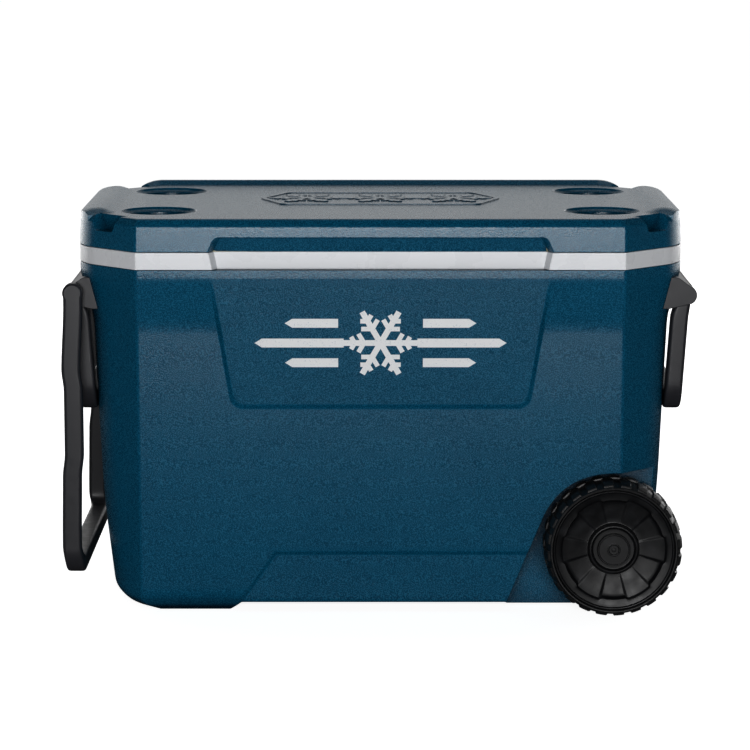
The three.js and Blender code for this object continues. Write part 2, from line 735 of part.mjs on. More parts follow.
function tyre() {
  const { inner, outer, discRadius, radius } = WHEEL;
  const middle = (inner + outer) / 2;
  const bulge = 3;
  const carcass = turnedAboutY(
    [
      [0, inner],
      [radius - 8, inner],
      [radius - TREAD.depth - 0.5, inner + bulge],
      [radius - TREAD.depth - 0.5, outer - bulge],
      [radius - 8, outer],
      [0, outer],
    ],
    SIDES.wheel,
  );
  const rows = [treadRow(inner + bulge, middle - 1.5, 0), treadRow(middle + 1.5, outer - bulge, 0.5)];
  return joined([carcass, ...rows]).subtract(rod('y', 100, 260, discRadius, {}, SIDES.wheel));
}

/** Moulded wheel centre: rim, dished face with alternating raised and sunk sectors, and a hub. */
function wheelDisc() {
  const { inner, outer, discRadius, axleRadius } = WHEEL;
  const rim = discRadius - GAP;
  const dish = outer - 14;
  const body = turnedAboutY(
    [
      [axleRadius + GAP, inner - 1],
      [16, inner - 1],
      [16, dish - 6],
      [rim - 5, dish - 6],
      [rim - 5, inner + 2],
      [rim, inner + 2],
      [rim, outer - 2],
      [rim - 4, outer - 1],
      [rim - 10, dish],
      [27, dish],
      [25, outer - 6],
      [19, outer - 6],
      [19, outer - 10],
      [axleRadius + GAP, outer - 10],
    ],
    SIDES.wheel,
  );
  const spokes = [];
  for (let i = 0; i < DISC_SPOKES; i += 1) {
    const sector = new THREE.Shape();
    const turn = (i * 2 * Math.PI) / DISC_SPOKES;
    const half = Math.PI / DISC_SPOKES / 2;
    sector.absarc(0, 0, 55, turn - half, turn + half, false);
    sector.absarc(0, 0, 25.5, turn + half, turn - half, true);
    spokes.push(slabAlongY(sector, dish - 1, dish + 4, { curveSegments: 2 }));
  }
  return joined([body, ...spokes]);
}

/** Push-on cap, carried by the disc, that hides the axle's end and its nut. */
function hubCap() {
  const { outer } = WHEEL;
  const face = outer - 5;
  const skirt = 14;
  return turnedAboutY(
    [
      [0, face - 2],
      [skirt, face - 2],
      [skirt, outer - 9.7],
      [18, outer - 9.7],
      [18, face],
      [16, face + 1.5],
      [7, face + 1.5],
      [5, face],
      [0, face],
    ],
    SIDES.cup,
  );
}

/** Push nut on the axle's end, which keeps the wheel on. */
function axleNut() {
  const [from, to] = [WHEEL.outer - 9.6, WHEEL.outer - 8.1];
  return rod('y', from, to, 12, {}).subtract(rod('y', from - 1, to + 1, WHEEL.axleRadius + GAP, {}));
}

/** Washer between the pocket wall and the wheel. */
function washer() {
  const from = POCKET_WALL_Y + GAP;
  const hole = rod('y', from - 5, from + 10, WHEEL.axleRadius + GAP, {});
  return rod('y', from, WHEEL.inner - 1 - GAP, 14, {}).subtract(hole);
}

const axle = () => {
  const end = WHEEL.outer - 7 - GAP;
  return rod('y', -end, end, WHEEL.axleRadius, {});
};

// ---------------------------------------------------------------- assembly
const cooler = new THREE.Group();
cooler.name = 'cooler_on_wheels';

function addPiece(name, body, finish, place = new THREE.Vector3()) {
  const mesh = new THREE.Mesh(geometryOf(body), finish);
  mesh.name = name;
  mesh.position.copy(place).add(CENTRING);
  cooler.add(mesh);
}

const bodyScrews = [...BODY_LEAF_SCREWS, ...BRACKET_SCREWS];
const leftScrewHoles = mirrored(joined(BRACKET_SCREWS.map(screwHole)));

addPiece('body_shell', bodyShell(bodyScrews).subtract(leftScrewHoles), SHELL_BLUE());
addPiece('body_foam', bodyFoam(), FOAM());
addPiece('body_liner', bodyLiner(), LINER_WHITE());
addPiece('drain_spout', drainSpout(), LINER_WHITE());
addPiece('drain_cap', drainCap(), SATIN_BLACK());

addPiece('lid_shell', lidShell(LID_LEAF_SCREWS), SHELL_BLUE());
addPiece('lid_foam', lidFoam(), FOAM());
addPiece('lid_liner', lidLiner(), LINER_WHITE());

const HINGE_NAMES = ['left', 'middle', 'right'];
HINGE.xs.forEach((x, i) => {
  addPiece(`hinge_${HINGE_NAMES[i]}_body_leaf`, bodyLeaf(x), SATIN_BLACK());
  addPiece(`hinge_${HINGE_NAMES[i]}_lid_leaf`, lidLeaf(x), SATIN_BLACK());
  addPiece(`hinge_${HINGE_NAMES[i]}_pin`, hingePin(x), STEEL());
});
BODY_LEAF_SCREWS.forEach((screw, i) => addPiece(`body_leaf_screw_${i + 1}`, screwBody(screw), STEEL()));
LID_LEAF_SCREWS.forEach((screw, i) => addPiece(`lid_leaf_screw_${i + 1}`, screwBody(screw), STEEL()));

addPiece('bracket_right', bracket(1), SATIN_BLACK());
addPiece('bracket_left', bracket(-1), SATIN_BLACK());
BRACKET_SCREWS.forEach((screw, i) => {
  addPiece(`bracket_right_screw_${i + 1}`, screwBody(screw), STEEL());
  addPiece(`bracket_left_screw_${i + 1}`, mirrored(screwBody(screw)), STEEL());
});
addPiece('lift_handle_right', liftHandle(), SATIN_BLACK());
addPiece('lift_handle_left', mirrored(liftHandle()), SATIN_BLACK());
const liftPin = rod('y', LIFT_PIN.from, LIFT_PIN.to, BRACKET.pinRadius, LIFT, SIDES.pin);
addPiece('lift_pin_right_back', liftPin, STEEL());
addPiece('lift_pin_right_front', inFront(liftPin), STEEL());
addPiece('lift_pin_left_back', mirrored(liftPin), STEEL());
addPiece('lift_pin_left_front', inFront(mirrored(liftPin)), STEEL());
addPiece('tow_handle', towHandle(), SATIN_BLACK());
const towPin = rod('y', TOW_PIN.from, TOW_PIN.to, BRACKET.pinRadius, TOW, SIDES.pin);
addPiece('tow_pin_back', towPin, STEEL());
addPiece('tow_pin_front', inFront(towPin), STEEL());

const hub = new THREE.Vector3(WHEEL.x, 0, WHEEL.radius);
addPiece('axle', axle(), STEEL(), hub);
for (const [end, turn] of [['back', (body) => body], ['front', inFront]]) {
  addPiece(`wheel_${end}_tyre`, turn(tyre()), TYRE_BLACK(), hub);
  addPiece(`wheel_${end}_disc`, turn(wheelDisc()), SATIN_BLACK(), hub);
  addPiece(`wheel_${end}_cap`, turn(hubCap()), SATIN_BLACK(), hub);
  addPiece(`axle_${end}_nut`, turn(axleNut()), STEEL(), hub);
  addPiece(`axle_${end}_washer`, turn(washer()), STEEL(), hub);
}

export default cooler;
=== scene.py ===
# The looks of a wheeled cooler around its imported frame, for Blender 4.5.
#
# Shapes are drawn in millimetres about the middle of the chest: +X to the wheel end, -Y to the
# front and z = 0 on the floor. show() turns a finished shape into the frame's metres.

import json
from math import cos, hypot, pi, radians, sin, sqrt, tan

import bmesh
import bpy
from mathutils import Matrix, Vector

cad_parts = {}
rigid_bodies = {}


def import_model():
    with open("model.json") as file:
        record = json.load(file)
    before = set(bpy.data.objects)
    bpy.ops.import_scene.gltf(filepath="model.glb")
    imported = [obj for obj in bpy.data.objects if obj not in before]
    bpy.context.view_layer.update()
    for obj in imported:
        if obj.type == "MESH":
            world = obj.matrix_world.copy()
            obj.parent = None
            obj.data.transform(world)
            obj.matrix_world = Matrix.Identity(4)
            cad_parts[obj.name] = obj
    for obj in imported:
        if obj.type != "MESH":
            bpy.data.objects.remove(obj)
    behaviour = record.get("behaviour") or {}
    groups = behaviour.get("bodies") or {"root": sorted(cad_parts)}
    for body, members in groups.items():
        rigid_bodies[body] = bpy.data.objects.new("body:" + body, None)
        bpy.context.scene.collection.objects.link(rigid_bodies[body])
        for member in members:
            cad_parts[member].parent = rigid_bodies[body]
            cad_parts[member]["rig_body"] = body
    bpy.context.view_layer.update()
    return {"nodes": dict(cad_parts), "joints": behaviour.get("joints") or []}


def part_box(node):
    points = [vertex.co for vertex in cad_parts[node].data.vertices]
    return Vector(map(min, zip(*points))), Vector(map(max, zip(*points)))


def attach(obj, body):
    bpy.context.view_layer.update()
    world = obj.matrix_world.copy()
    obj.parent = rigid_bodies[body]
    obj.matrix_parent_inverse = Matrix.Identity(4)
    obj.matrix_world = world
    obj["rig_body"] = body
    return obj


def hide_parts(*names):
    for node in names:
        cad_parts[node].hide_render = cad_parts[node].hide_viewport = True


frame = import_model()

# ---------------- places taken from the frame
MM = 0.001


def box_mm(node):
    low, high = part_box(node)
    return low / MM, high / MM


LID_LOW, LID_HIGH = box_mm("lid_shell")
BAND_LOW, BAND_HIGH = box_mm("lid_liner")
MIDDLE = Vector(((BAND_LOW.x + BAND_HIGH.x) / 2, (BAND_LOW.y + BAND_HIGH.y) / 2, 0))
JOINT_AT = {joint["name"]: Vector(joint["pos_m"]) / MM - MIDDLE for joint in frame["joints"]}

HALF_LENGTH = (BAND_HIGH.x - BAND_LOW.x) / 2
HALF_DEPTH = (BAND_HIGH.y - BAND_LOW.y) / 2
RIM_TOP = box_mm("body_shell")[1].z
BAND_TOP = BAND_HIGH.z
LID_BOTTOM = LID_LOW.z
LIP_TOP = LID_HIGH.z
HUB = JOINT_AT["wheel_back_roll"]
TYRE_INNER, TYRE_OUTER = (edge.y - MIDDLE.y for edge in box_mm("wheel_back_tyre"))
TYRE_RADIUS = HUB.z
LID_PIN = JOINT_AT["lid_hinge"]
LIFT_PIVOT = JOINT_AT["lift_right_swing"]
TOW_PIVOT = JOINT_AT["tow_swing"]
DRAIN = JOINT_AT["drain_cap_turn"]

# ---------------- driving dimensions
LEFT_OF_ALL, RIGHT_OF_ALL, BESIDE_ALL = -340, 360, 220  # where cutting tools end in the open
THROUGH = 200  # half the length of a bore that runs through front and back
GAP = 0.3
SHARED_SIDE = 2.05  # two roundings on one side keep a little of it straight between them
WALL = 3.5
LID_WALL = 3.0
LINER_WALL = 2.5
CREASE_X = 265  # where the flat front meets the corner facet
CORNER_RADIUS = 70
ARC_STEPS = 9
STRIP_BOTTOM = 374
LID_TOP = 440
LID_SHOULDER = 432.5
ABOVE_ALL = LID_TOP + 20
LID_DRAFT = 1.0
LID_CHAMFER = 6.5

# Outer wall from the feet to the rim: (z, half length, half depth, how far the bend is eased).
WALL_LEVELS = [
    (0, 268, 158, 0),
    (6, 283, 165.5, 4),
    (20, 298, 171.6, 8),
    (120, 310.5, 179.4, 45),
    (220, 314.5, 184.6, 45),
    (323, 319.5, 187.4, 9),
    (STRIP_BOTTOM, HALF_LENGTH, HALF_DEPTH, 4),
    (RIM_TOP, HALF_LENGTH, HALF_DEPTH, 0),
]

PANEL_TOP, PANEL_BOTTOM = 379, 233.5
PANEL_TOP_HALF, PANEL_BOTTOM_HALF = 185, 161
PANEL_LEAN = radians(4.8)
PANEL_START = 376  # height at which the panel's face leaves the rim strip
PANEL_CORNER = 11
PANEL_SLOPE = 5.5
FIELD_TOP, FIELD_FOOT = 67, 12
FIELD_TOP_X, FIELD_FOOT_X = -116, -154
FIELD_FLOOR = 167.5
FIELD_LEAN = radians(3)
FIELD_SLOPE = 6

FOOT_RISE = 10
FOOT_END_X = -168
ARCH_X, ARCH_TOP = 141, 158
POCKET_WALL_Y = 138
LEDGE = 12
FLANGE = 3.2
LINER_INSET = 32
PLUG_INSET = LINER_INSET + 4
LINER_FLOOR = 32
LINER_FOOT = (270, 143)  # half length and half depth of the tub's floor
HUMP_TOP = 170

CUP_X, CUP_Y, CUP_RADIUS, CUP_DEPTH = 245, 108, 42, 14
NOTCH_BOTTOM_HALF, NOTCH_TOP_HALF, NOTCH_TOP, NOTCH_DEPTH = 186, 179, 420, 13
NOTCH_LEAN = 0.42  # how far its back leans in for each millimetre upwards
END_SLANT = 5  # how much narrower the notch is at its back
BAND_SLANT = 6  # how much narrower its run through the band is at the bottom
POCKET_X, POCKET_Y = 305.5, 165.5
BOLSTER_HALF = 140

HINGE_XS = {"left": -200, "middle": 0, "right": 200}
HINGE_BACK = HALF_DEPTH + GAP
PLATE = 3
LEAF_HALF, LEAF_MIDDLE = 22, 10
LEAF_CORNER, LEAF_SCREW_X = 4, 13
PAD_HALF = 26  # of the flat pad in the back wall under each hinge
KNUCKLE_RADIUS, KNUCKLE_OUT = 5, 7.7
HINGE_PIN_RADIUS = 2

BRACKET_HALF = 143
SCREW_HEIGHT, SCREW_YS = 350, (-60, 0, 60)
PIN_RADIUS = 4
PIN_BORE = PIN_RADIUS + GAP
LIFT_ARM = (108, 130)  # how far the two sides of an arm are from the middle
TOW_ARM = (147, 162)
FRAME_STEP = 5  # length of the pieces that a handle's bar is swept in
AXLE_RADIUS = 6.5
DRAIN_SEAT, SPOUT_RADIUS = DRAIN.x + 9, 13
DISC_RADIUS = 67


# ---------------- solids
def linked(name, data):
    """A new object of the scene."""
    made = bpy.data.objects.new(name, data)
    bpy.context.scene.collection.objects.link(made)
    return made


def solid(points, faces):
    """A closed temporary body with its faces turned outwards."""
    mesh = bpy.data.meshes.new("solid")
    mesh.from_pydata([tuple(point) for point in points], [], faces)
    tidy = bmesh.new()
    tidy.from_mesh(mesh)
    bmesh.ops.remove_doubles(tidy, verts=tidy.verts, dist=1e-4)
    on_the_axis = [edge for edge in tidy.edges if not edge.link_faces]
    bmesh.ops.delete(tidy, geom=on_the_axis, context="EDGES")
    bmesh.ops.recalc_face_normals(tidy, faces=tidy.faces)
    tidy.to_mesh(mesh)
    tidy.free()
    return linked("solid", mesh)


def loft(rings, closed=False):
    """A solid through rings of equally many points, capped at its ends unless it closes on itself."""
    count, levels = len(rings[0]), len(rings)
    faces = []
    for level in range(levels if closed else levels - 1):
        low, high = level * count, (level + 1) % levels * count
        for i in range(count):
            j = (i + 1) % count
            faces.append((low + i, low + j, high + j, high + i))
    if not closed:
        faces += [tuple(range(count)), tuple(range((levels - 1) * count, levels * count))]
    return solid([point for ring in rings for point in ring], faces)


def on_axis(axis, u, v, along):
    """A point given in the plane across an axis and by its place along the axis."""
    return {"x": (along, u, v), "y": (u, along, v), "z": (u, v, along)}[axis]


def prism(outline, axis, low, high):
    return loft([[on_axis(axis, u, v, along) for u, v in outline] for along in (low, high)])


def block(x0, x1, y0, y1, z0, z1):
    return prism([(x0, y0), (x1, y0), (x1, y1), (x0, y1)], "z", z0, z1)


def turned(profile, axis, centre=(0, 0, 0), sides=64):
    """A solid of revolution. The profile is a closed outline of (radius, place along the axis)."""
    rings = []
    for step in range(sides):
        angle = 2 * pi * step / sides
        ring = [on_axis(axis, r * cos(angle), r * sin(angle), along) for r, along in profile]
        rings.append([Vector(point) + Vector(centre) for point in ring])
    return loft(rings, closed=True)


def rod(axis, low, high, radius, centre=(0, 0, 0), sides=48, ease=0.0):
    """A rod between two places on an axis, with its ends eased by a small chamfer."""
    middle = [0 if name == axis else value for name, value in zip("xyz", centre)]
    ends = [(0, low), (radius - ease, low), (radius, low + ease)]
    ends += [(radius, high - ease), (radius - ease, high), (0, high)]
    if not ease:
        ends = [(0, low), (radius, low), (radius, high), (0, high)]
    return turned(ends, axis, middle, sides)


def bend(start, corner, end, steps):
    """Points of a curve that leaves start towards corner and arrives at end."""
    shares = [step / steps for step in range(steps + 1)]
    return [start * (1 - t) ** 2 + corner * 2 * t * (1 - t) + end * t * t for t in shares]


def eased(points, reach, closed=True, steps=4):
    """A path whose corners are rounded. reach is how far from each corner the rounding starts."""
    points = [Vector(point) for point in points]
    reaches = reach if isinstance(reach, (list, tuple)) else [reach] * len(points)
    path = []
    for i, corner in enumerate(points):
        if not reaches[i] or (not closed and i in (0, len(points) - 1)):
            path.append(corner)
            continue
        ends = []
        for neighbour in (points[i - 1], points[(i + 1) % len(points)]):
            side = neighbour - corner
            ends.append(corner + side.normalized() * min(reaches[i], side.length / SHARED_SIDE))
        path += bend(ends[0], corner, ends[1], steps)
    return path


def bake(body):
    """Puts what a body's modifiers make into its mesh."""
    graph = bpy.context.evaluated_depsgraph_get()
    made = bpy.data.meshes.new_from_object(body.evaluated_get(graph))
    old = body.data
    body.modifiers.clear()
    body.data = made
    bpy.data.meshes.remove(old)
    return body


def combine(body, operation, tools):
    for tool in tools:
        step = body.modifiers.new("combine", "BOOLEAN")
        step.operation = operation
        step.solver = "MANIFOLD"
        step.object = tool
    bake(body)
    for tool in tools:
        bpy.data.objects.remove(tool)
    return body


def joined(body, *tools):
    return combine(body, "UNION", tools)


def cut(body, *tools):
    return combine(body, "DIFFERENCE", tools)


def kept_inside(body, *tools):
    return combine(body, "INTERSECT", tools)


def moved(body, matrix):
    """A body moved, turned or mirrored by a matrix."""
    body.data.transform(matrix)
    if matrix.determinant() < 0:
        body.data.flip_normals()
    return body


AS_DRAWN = Matrix.Identity(4)
FRONT_BACK = Matrix.Scale(-1, 4, (0, 1, 0))
LEFT_RIGHT = Matrix.Scale(-1, 4, (1, 0, 0))


def repeated(body, *matrices):
    """A body and a copy of it for each matrix."""
    return [body] + [moved(linked("solid", body.data.copy()), matrix) for matrix in matrices]


def front_and_back(body):
    return repeated(body, FRONT_BACK)


def four_corners(body):
    return repeated(body, FRONT_BACK, LEFT_RIGHT, FRONT_BACK @ LEFT_RIGHT)


def on_side(side, body):
    """A body drawn for the right end, mirrored if it is for the left."""
    return body if side > 0 else moved(body, LEFT_RIGHT)


def tidied(body):
    """A body's mesh for editing, with slivers merged and flat areas made into a few convex faces."""
    tidy = bmesh.new()
    tidy.from_mesh(body.data)
    bmesh.ops.remove_doubles(tidy, verts=tidy.verts, dist=0.02)
    bmesh.ops.dissolve_limit(tidy, angle_limit=radians(0.1), verts=tidy.verts, edges=tidy.edges)
    bmesh.ops.connect_verts_concave(tidy, faces=tidy.faces)
    return tidy


SOFTEN_FROM = radians(28)  # edges that turn less stay as they are
BEVEL_SEGMENTS = 3


def soften(body, width, weigh=None):
    """Rounds a body's edges. weigh gives an edge's share of the width from where its middle is."""
    tidy = tidied(body)
    weight = tidy.edges.layers.float.new("bevel_weight_edge")
    for edge in tidy.edges:
        if edge.is_manifold and edge.calc_face_angle() > SOFTEN_FROM:
            middle = (edge.verts[0].co + edge.verts[1].co) / 2
            edge[weight] = weigh(middle) if weigh else 1.0
    tidy.to_mesh(body.data)
    tidy.free()
    bevel = body.modifiers.new("bevel", "BEVEL")
    bevel.limit_method = "WEIGHT"
    bevel.width = width
    bevel.segments = BEVEL_SEGMENTS
    bevel.use_clamp_overlap = False
    bevel.miter_outer = "MITER_ARC"
    return bake(body)


# ---------------- materials
# The first is how far the painted shade in deep corners reaches, the second how wide the rubbed edges are.
PAINTED_SHADE_REACH, WEAR_REACH = 0.03, 0.0012


class Nodes:
    """A material's node tree, with object coordinates in metres as the source of every pattern."""

    def __init__(self, name):
        self.material = bpy.data.materials.new(name)
        self.material.use_nodes = True
        self.tree = self.material.node_tree
        self.shader = self.tree.nodes["Principled BSDF"]
        self.place = self.tree.nodes.new("ShaderNodeTexCoord").outputs["Object"]

    def add(self, kind, **inputs):
        node = self.tree.nodes.new(kind)
        for name, value in inputs.items():
            self.put(node.inputs[name.replace("_", " ")], value)
        return node

    def put(self, socket, value):
        if isinstance(value, bpy.types.NodeSocket):
            self.tree.links.new(value, socket)
        else:
            socket.default_value = value

    def noise(self, scale, detail=2.0, stretch=(1, 1, 1)):
        place = self.add("ShaderNodeMapping", Vector=self.place, Scale=stretch).outputs["Vector"]
        return self.add("ShaderNodeTexNoise", Vector=place, Scale=scale, Detail=detail).outputs["Fac"]

    def cells(self, scale):
        node = self.add("ShaderNodeTexVoronoi", Vector=self.place, Scale=scale)
        node.feature = "SMOOTH_F1"
        return node.outputs["Distance"]

    def span(self, value, low, high, start=0.0, end=1.0):
        """value from low to high as a number from start to end."""
        node = self.add("ShaderNodeMapRange", Value=value, From_Min=low, From_Max=high)
        node.inputs["To Min"].default_value = start
        node.inputs["To Max"].default_value = end
        return node.outputs["Result"]

    def blend(self, share, first, second):
        node = self.tree.nodes.new("ShaderNodeMix")
        node.data_type = "RGBA"
        self.put(node.inputs["Factor"], share)
        self.put(node.inputs[6], first)
        self.put(node.inputs[7], second)
        return node.outputs[2]

    def maths(self, operation, first, second):
        node = self.tree.nodes.new("ShaderNodeMath")
        node.operation = operation
        self.put(node.inputs[0], first)
        self.put(node.inputs[1], second)
        return node.outputs["Value"]

    def uneven(self, scale, detail, low, high, stretch=(1, 1, 1)):
        """A number that wanders between low and high."""
        return self.span(self.noise(scale, detail, stretch), 0.3, 0.7, low, high)

    def bump(self, height, strength, distance):
        node = self.add("ShaderNodeBump", Height=height, Strength=strength, Distance=distance)
        return node.outputs["Normal"]

    def painted_shade_mask(self):
        """1 in the open and less in deep corners: the mask for painted shade in corners and recesses."""
        node = self.add("ShaderNodeAmbientOcclusion", Distance=PAINTED_SHADE_REACH)
        node.samples = 8
        return node.outputs["AO"]

    def worn_edges(self):
        """Near 1 on rounded outer edges and 0 on flat surfaces."""
        node = self.add("ShaderNodeBevel", Radius=WEAR_REACH)
        flat = self.tree.nodes.new("ShaderNodeNewGeometry")
        dot = self.tree.nodes.new("ShaderNodeVectorMath")
        dot.operation = "DOT_PRODUCT"
        self.put(dot.inputs[0], node.outputs["Normal"])
        self.put(dot.inputs[1], flat.outputs["Normal"])
        return self.span(dot.outputs["Value"], 0.995, 0.93)

    def finish(self, colour, roughness, normal=None, **constants):
        self.put(self.shader.inputs["Base Color"], colour)
        self.put(self.shader.inputs["Roughness"], roughness)
        if normal is not None:
            self.put(self.shader.inputs["Normal"], normal)
        for name, value in constants.items():
            self.shader.inputs[name.replace("_", " ")].default_value = value
        return self.material


def rgb(red, green, blue):
    return (red, green, blue, 1)


def shell_blue():
    """Deep blue moulded plastic with a pebbled grain, painted darker in deep corners as painted shade and
    lighter on the grain's peaks as painted glints.
    """
    n = Nodes("pebbled_blue_plastic")
    broad = n.span(n.noise(9, 3), 0.35, 0.65)
    grain = n.noise(880, 1)
    # Partly painted light: the grain's tone varies, and its peaks are painted lighter as painted glints and
    # its pits darker as painted shade.
    grain_glints = n.span(grain, 0.42, 0.58)
    low = n.blend(broad, rgb(0.0008, 0.062, 0.120), rgb(0.0010, 0.067, 0.128))
    high = n.blend(broad, rgb(0.0014, 0.124, 0.218), rgb(0.0018, 0.132, 0.230))
    # Painted shade: the blue goes towards a near-black blue in deep corners and recesses, where shade
    # falls.
    unshaded = n.span(n.painted_shade_mask(), 0.15, 0.8)
    colour = n.blend(unshaded, rgb(0.0002, 0.014, 0.034), n.blend(grain_glints, low, high))
    roughness = n.span(grain, 0.34, 0.64, 0.20, 0.32)
    return n.finish(colour, roughness, n.bump(grain, 0.85, 0.00024))


def liner_white():
    """Smooth white plastic with a faint moulding ripple and a few scuffs."""
    n = Nodes("smooth_white_plastic")
    scuffs = n.span(n.noise(60, 6, (1, 1, 9)), 0.62, 0.78)
    colour = n.blend(scuffs, rgb(0.735, 0.75, 0.775), rgb(0.70, 0.715, 0.74))
    return n.finish(colour, n.uneven(35, 4, 0.22, 0.34), n.bump(n.noise(260), 0.08, 0.0002))


def satin_black():
    """Black moulded nylon with a fine grain that shows paler on rubbed edges."""
    n = Nodes("satin_black_plastic")
    rubbed = n.maths("MULTIPLY", n.worn_edges(), n.span(n.noise(220, 4), 0.4, 0.65))
    colour = n.blend(rubbed, rgb(0.030, 0.0305, 0.036), rgb(0.055, 0.056, 0.062))
    return n.finish(colour, n.uneven(90, 4, 0.32, 0.44), n.bump(n.noise(1100), 0.22, 0.00025))


def wheel_black():
    """Deep black moulded plastic with blotchy handling marks."""
    n = Nodes("black_wheel_plastic")
    marks = n.span(n.noise(55, 4), 0.50, 0.72)
    colour = n.blend(marks, rgb(0.005, 0.0055, 0.007), rgb(0.015, 0.016, 0.019))
    return n.finish(colour, n.uneven(70, 4, 0.38, 0.54), n.bump(n.noise(1100), 0.15, 0.0002))


def tread_black():
    """Dull black tread plastic with dust in its grain."""
    n = Nodes("dull_black_tread")
    dust = n.span(n.noise(130, 5), 0.5, 0.72)
    colour = n.blend(dust, rgb(0.010, 0.0105, 0.012), rgb(0.026, 0.026, 0.026))
    return n.finish(colour, n.uneven(300, 3, 0.36, 0.52), n.bump(n.noise(900, 3), 0.35, 0.0003))


def steel():
    """Zinc-plated steel, finely brushed, with a little dulling."""
    n = Nodes("plated_steel")
    dull = n.span(n.noise(240, 4), 0.35, 0.7)
    colour = n.blend(dull, rgb(0.62, 0.62, 0.61), rgb(0.46, 0.46, 0.47))
    roughness = n.uneven(700, 2, 0.22, 0.4, stretch=(1, 6, 1))
    return n.finish(colour, roughness, n.bump(n.noise(1800), 0.1, 0.0001), Metallic=1.0)


def foam():
    """Pale yellow insulating foam with open cells."""
    n = Nodes("insulating_foam")
    cells = n.cells(900)
    colour = n.blend(n.span(cells, 0.1, 0.7), rgb(0.62, 0.53, 0.30), rgb(0.80, 0.72, 0.48))
    return n.finish(colour, n.uneven(300, 2, 0.8, 0.95), n.bump(cells, 0.6, 0.0006))


def print_white():
    """White screen-print ink, slightly broken by the grain under it."""
    n = Nodes("white_ink")
    thin = n.span(n.noise(700, 3), 0.60, 0.74)
    colour = n.blend(thin, rgb(0.78, 0.79, 0.80), rgb(0.50, 0.55, 0.60))
    return n.finish(colour, n.uneven(240, 2, 0.38, 0.5), n.bump(n.noise(620), 0.25, 0.0003))


LOOKS = (shell_blue, liner_white, satin_black, wheel_black, tread_black, steel, foam, print_white)
FINISH = {look.__name__: look() for look in LOOKS}


# ---------------- showing a piece
SMOOTH_UP_TO = radians(32)


def show(name, body, slot, look=None, rides=None):
    """Turns a drawn body into a piece, which stands for the CAD node of its name unless it rides."""
    body.name = name if rides else f"{name}_look"
    body.data.name = body.name
    moved(body, Matrix.Translation(MIDDLE * MM) @ Matrix.Scale(MM, 4))
    body.data.materials.clear()
    body.data.materials.append(FINISH[look or slot])
    body.data.shade_smooth()
    body.data.set_sharp_from_angle(angle=SMOOTH_UP_TO)
    normals = body.modifiers.new("even_normals", "WEIGHTED_NORMAL")
    normals.keep_sharp = True
    normals.weight = 100
    if rides:
        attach(body, rides)
    else:
        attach(body, frame["nodes"][name]["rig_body"])
        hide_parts(name)


# ---------------- outlines of the chest
def corner_outline(half_length, half_depth, inset=0.0):
    """One quarter of the plan: from the middle of the rounded end to the crease, x and y positive."""
    radius = CORNER_RADIUS - inset
    facet_x = half_length - inset - radius * (1 - sqrt(0.5))
    crease = min(CREASE_X, half_length - 24) - inset * tan(pi / 8)
    facet_y = half_depth - inset - (facet_x - crease)
    centre = (half_length - inset - radius, facet_y - radius * sqrt(0.5))
    arc = [pi / 4 * step / ARC_STEPS for step in range(ARC_STEPS + 1)]
    outline = [(centre[0] + radius * cos(angle), centre[1] + radius * sin(angle)) for angle in arc]
    return outline + [(crease, half_depth - inset)]


def plan(half_length, half_depth, inset=0.0):
    """Whole plan outline: flat front and back, 45-degree corner facets and rounded ends."""
    right = corner_outline(half_length, half_depth, inset)
    left = [(-x, y) for x, y in reversed(right)]
    back = right + left
    return back + [(-x, -y) for x, y in back]


def lid_plan(inset=0.0):
    return plan(HALF_LENGTH, HALF_DEPTH, inset)


def at_level(outline, z):
    return [(x, y, z) for x, y in outline]


WALL_PATH = eased(
    [(half_length, half_depth, z) for z, half_length, half_depth, _ in WALL_LEVELS],
    [ease for *_, ease in WALL_LEVELS],
    closed=False,
    steps=5,
)


def wall_at(z):
    """Half length and half depth of the outer wall at a height."""
    for below, above in zip(WALL_PATH, WALL_PATH[1:]):
        if z <= above.z:
            t = (z - below.z) / (above.z - below.z)
            return below.x + (above.x - below.x) * t, below.y + (above.y - below.y) * t
    return WALL_PATH[-1].x, WALL_PATH[-1].y


def smooth_step(value, low, high):
    t = max(0.0, min(1.0, (value - low) / (high - low)))
    return t * t * (3 - 2 * t)


def panel_half(z):
    share = (z - PANEL_BOTTOM) / (PANEL_TOP - PANEL_BOTTOM)
    return PANEL_BOTTOM_HALF + (PANEL_TOP_HALF - PANEL_BOTTOM_HALF) * share


def field_left(z):
    """The sunk field's slanting left edge, which is steeper below its foot."""
    if z > FIELD_FOOT:
        return FIELD_TOP_X - (FIELD_TOP - z) * (FIELD_TOP_X - FIELD_FOOT_X) / (FIELD_TOP - FIELD_FOOT)
    return FIELD_FOOT_X - (FIELD_FOOT - z) / 3


def panel_face(z):
    """How far the raised panel's leaning face stands from the middle."""
    return HALF_DEPTH - tan(PANEL_LEAN) * max(0.0, PANEL_START - z)


def front_depth(x, z):
    """How far the front stands from the middle: the wall with its raised panel and sunk field."""
    depth = wall_at(z)[1]
    side = panel_half(z) - abs(x)
    rise = z - PANEL_BOTTOM
    inside = min(side, rise)
    if side < PANEL_CORNER and rise < PANEL_CORNER:
        inside = PANEL_CORNER - hypot(PANEL_CORNER - side, PANEL_CORNER - rise)
    depth += max(0.0, panel_face(z) - depth) * smooth_step(inside, -PANEL_SLOPE / 2, PANEL_SLOPE / 2)
    sunk = min(x - field_left(z), FIELD_TOP - z)
    floor = FIELD_FLOOR + tan(FIELD_LEAN) * z
    return depth - max(0.0, depth - floor) * smooth_step(sunk, -FIELD_SLOPE / 2, FIELD_SLOPE / 2)


def front_columns(z):
    """Places along the front where its surface is sampled, closest together along slanting edges."""
    beside = (-14, -11, -8.5, -6.5, -4.5, -3, -1.5, 0, 1.5, 3, 4.5)
    share = smooth_step(z, FIELD_TOP + 10, PANEL_BOTTOM - 10)
    right_edge = panel_half(max(z, PANEL_BOTTOM))
    left_edge = field_left(min(z, FIELD_TOP)) * (1 - share) - right_edge * share
    left = sorted(left_edge - offset for offset in beside)
    right = [right_edge + offset for offset in beside]
    return left + [-60, 0, 60] + right


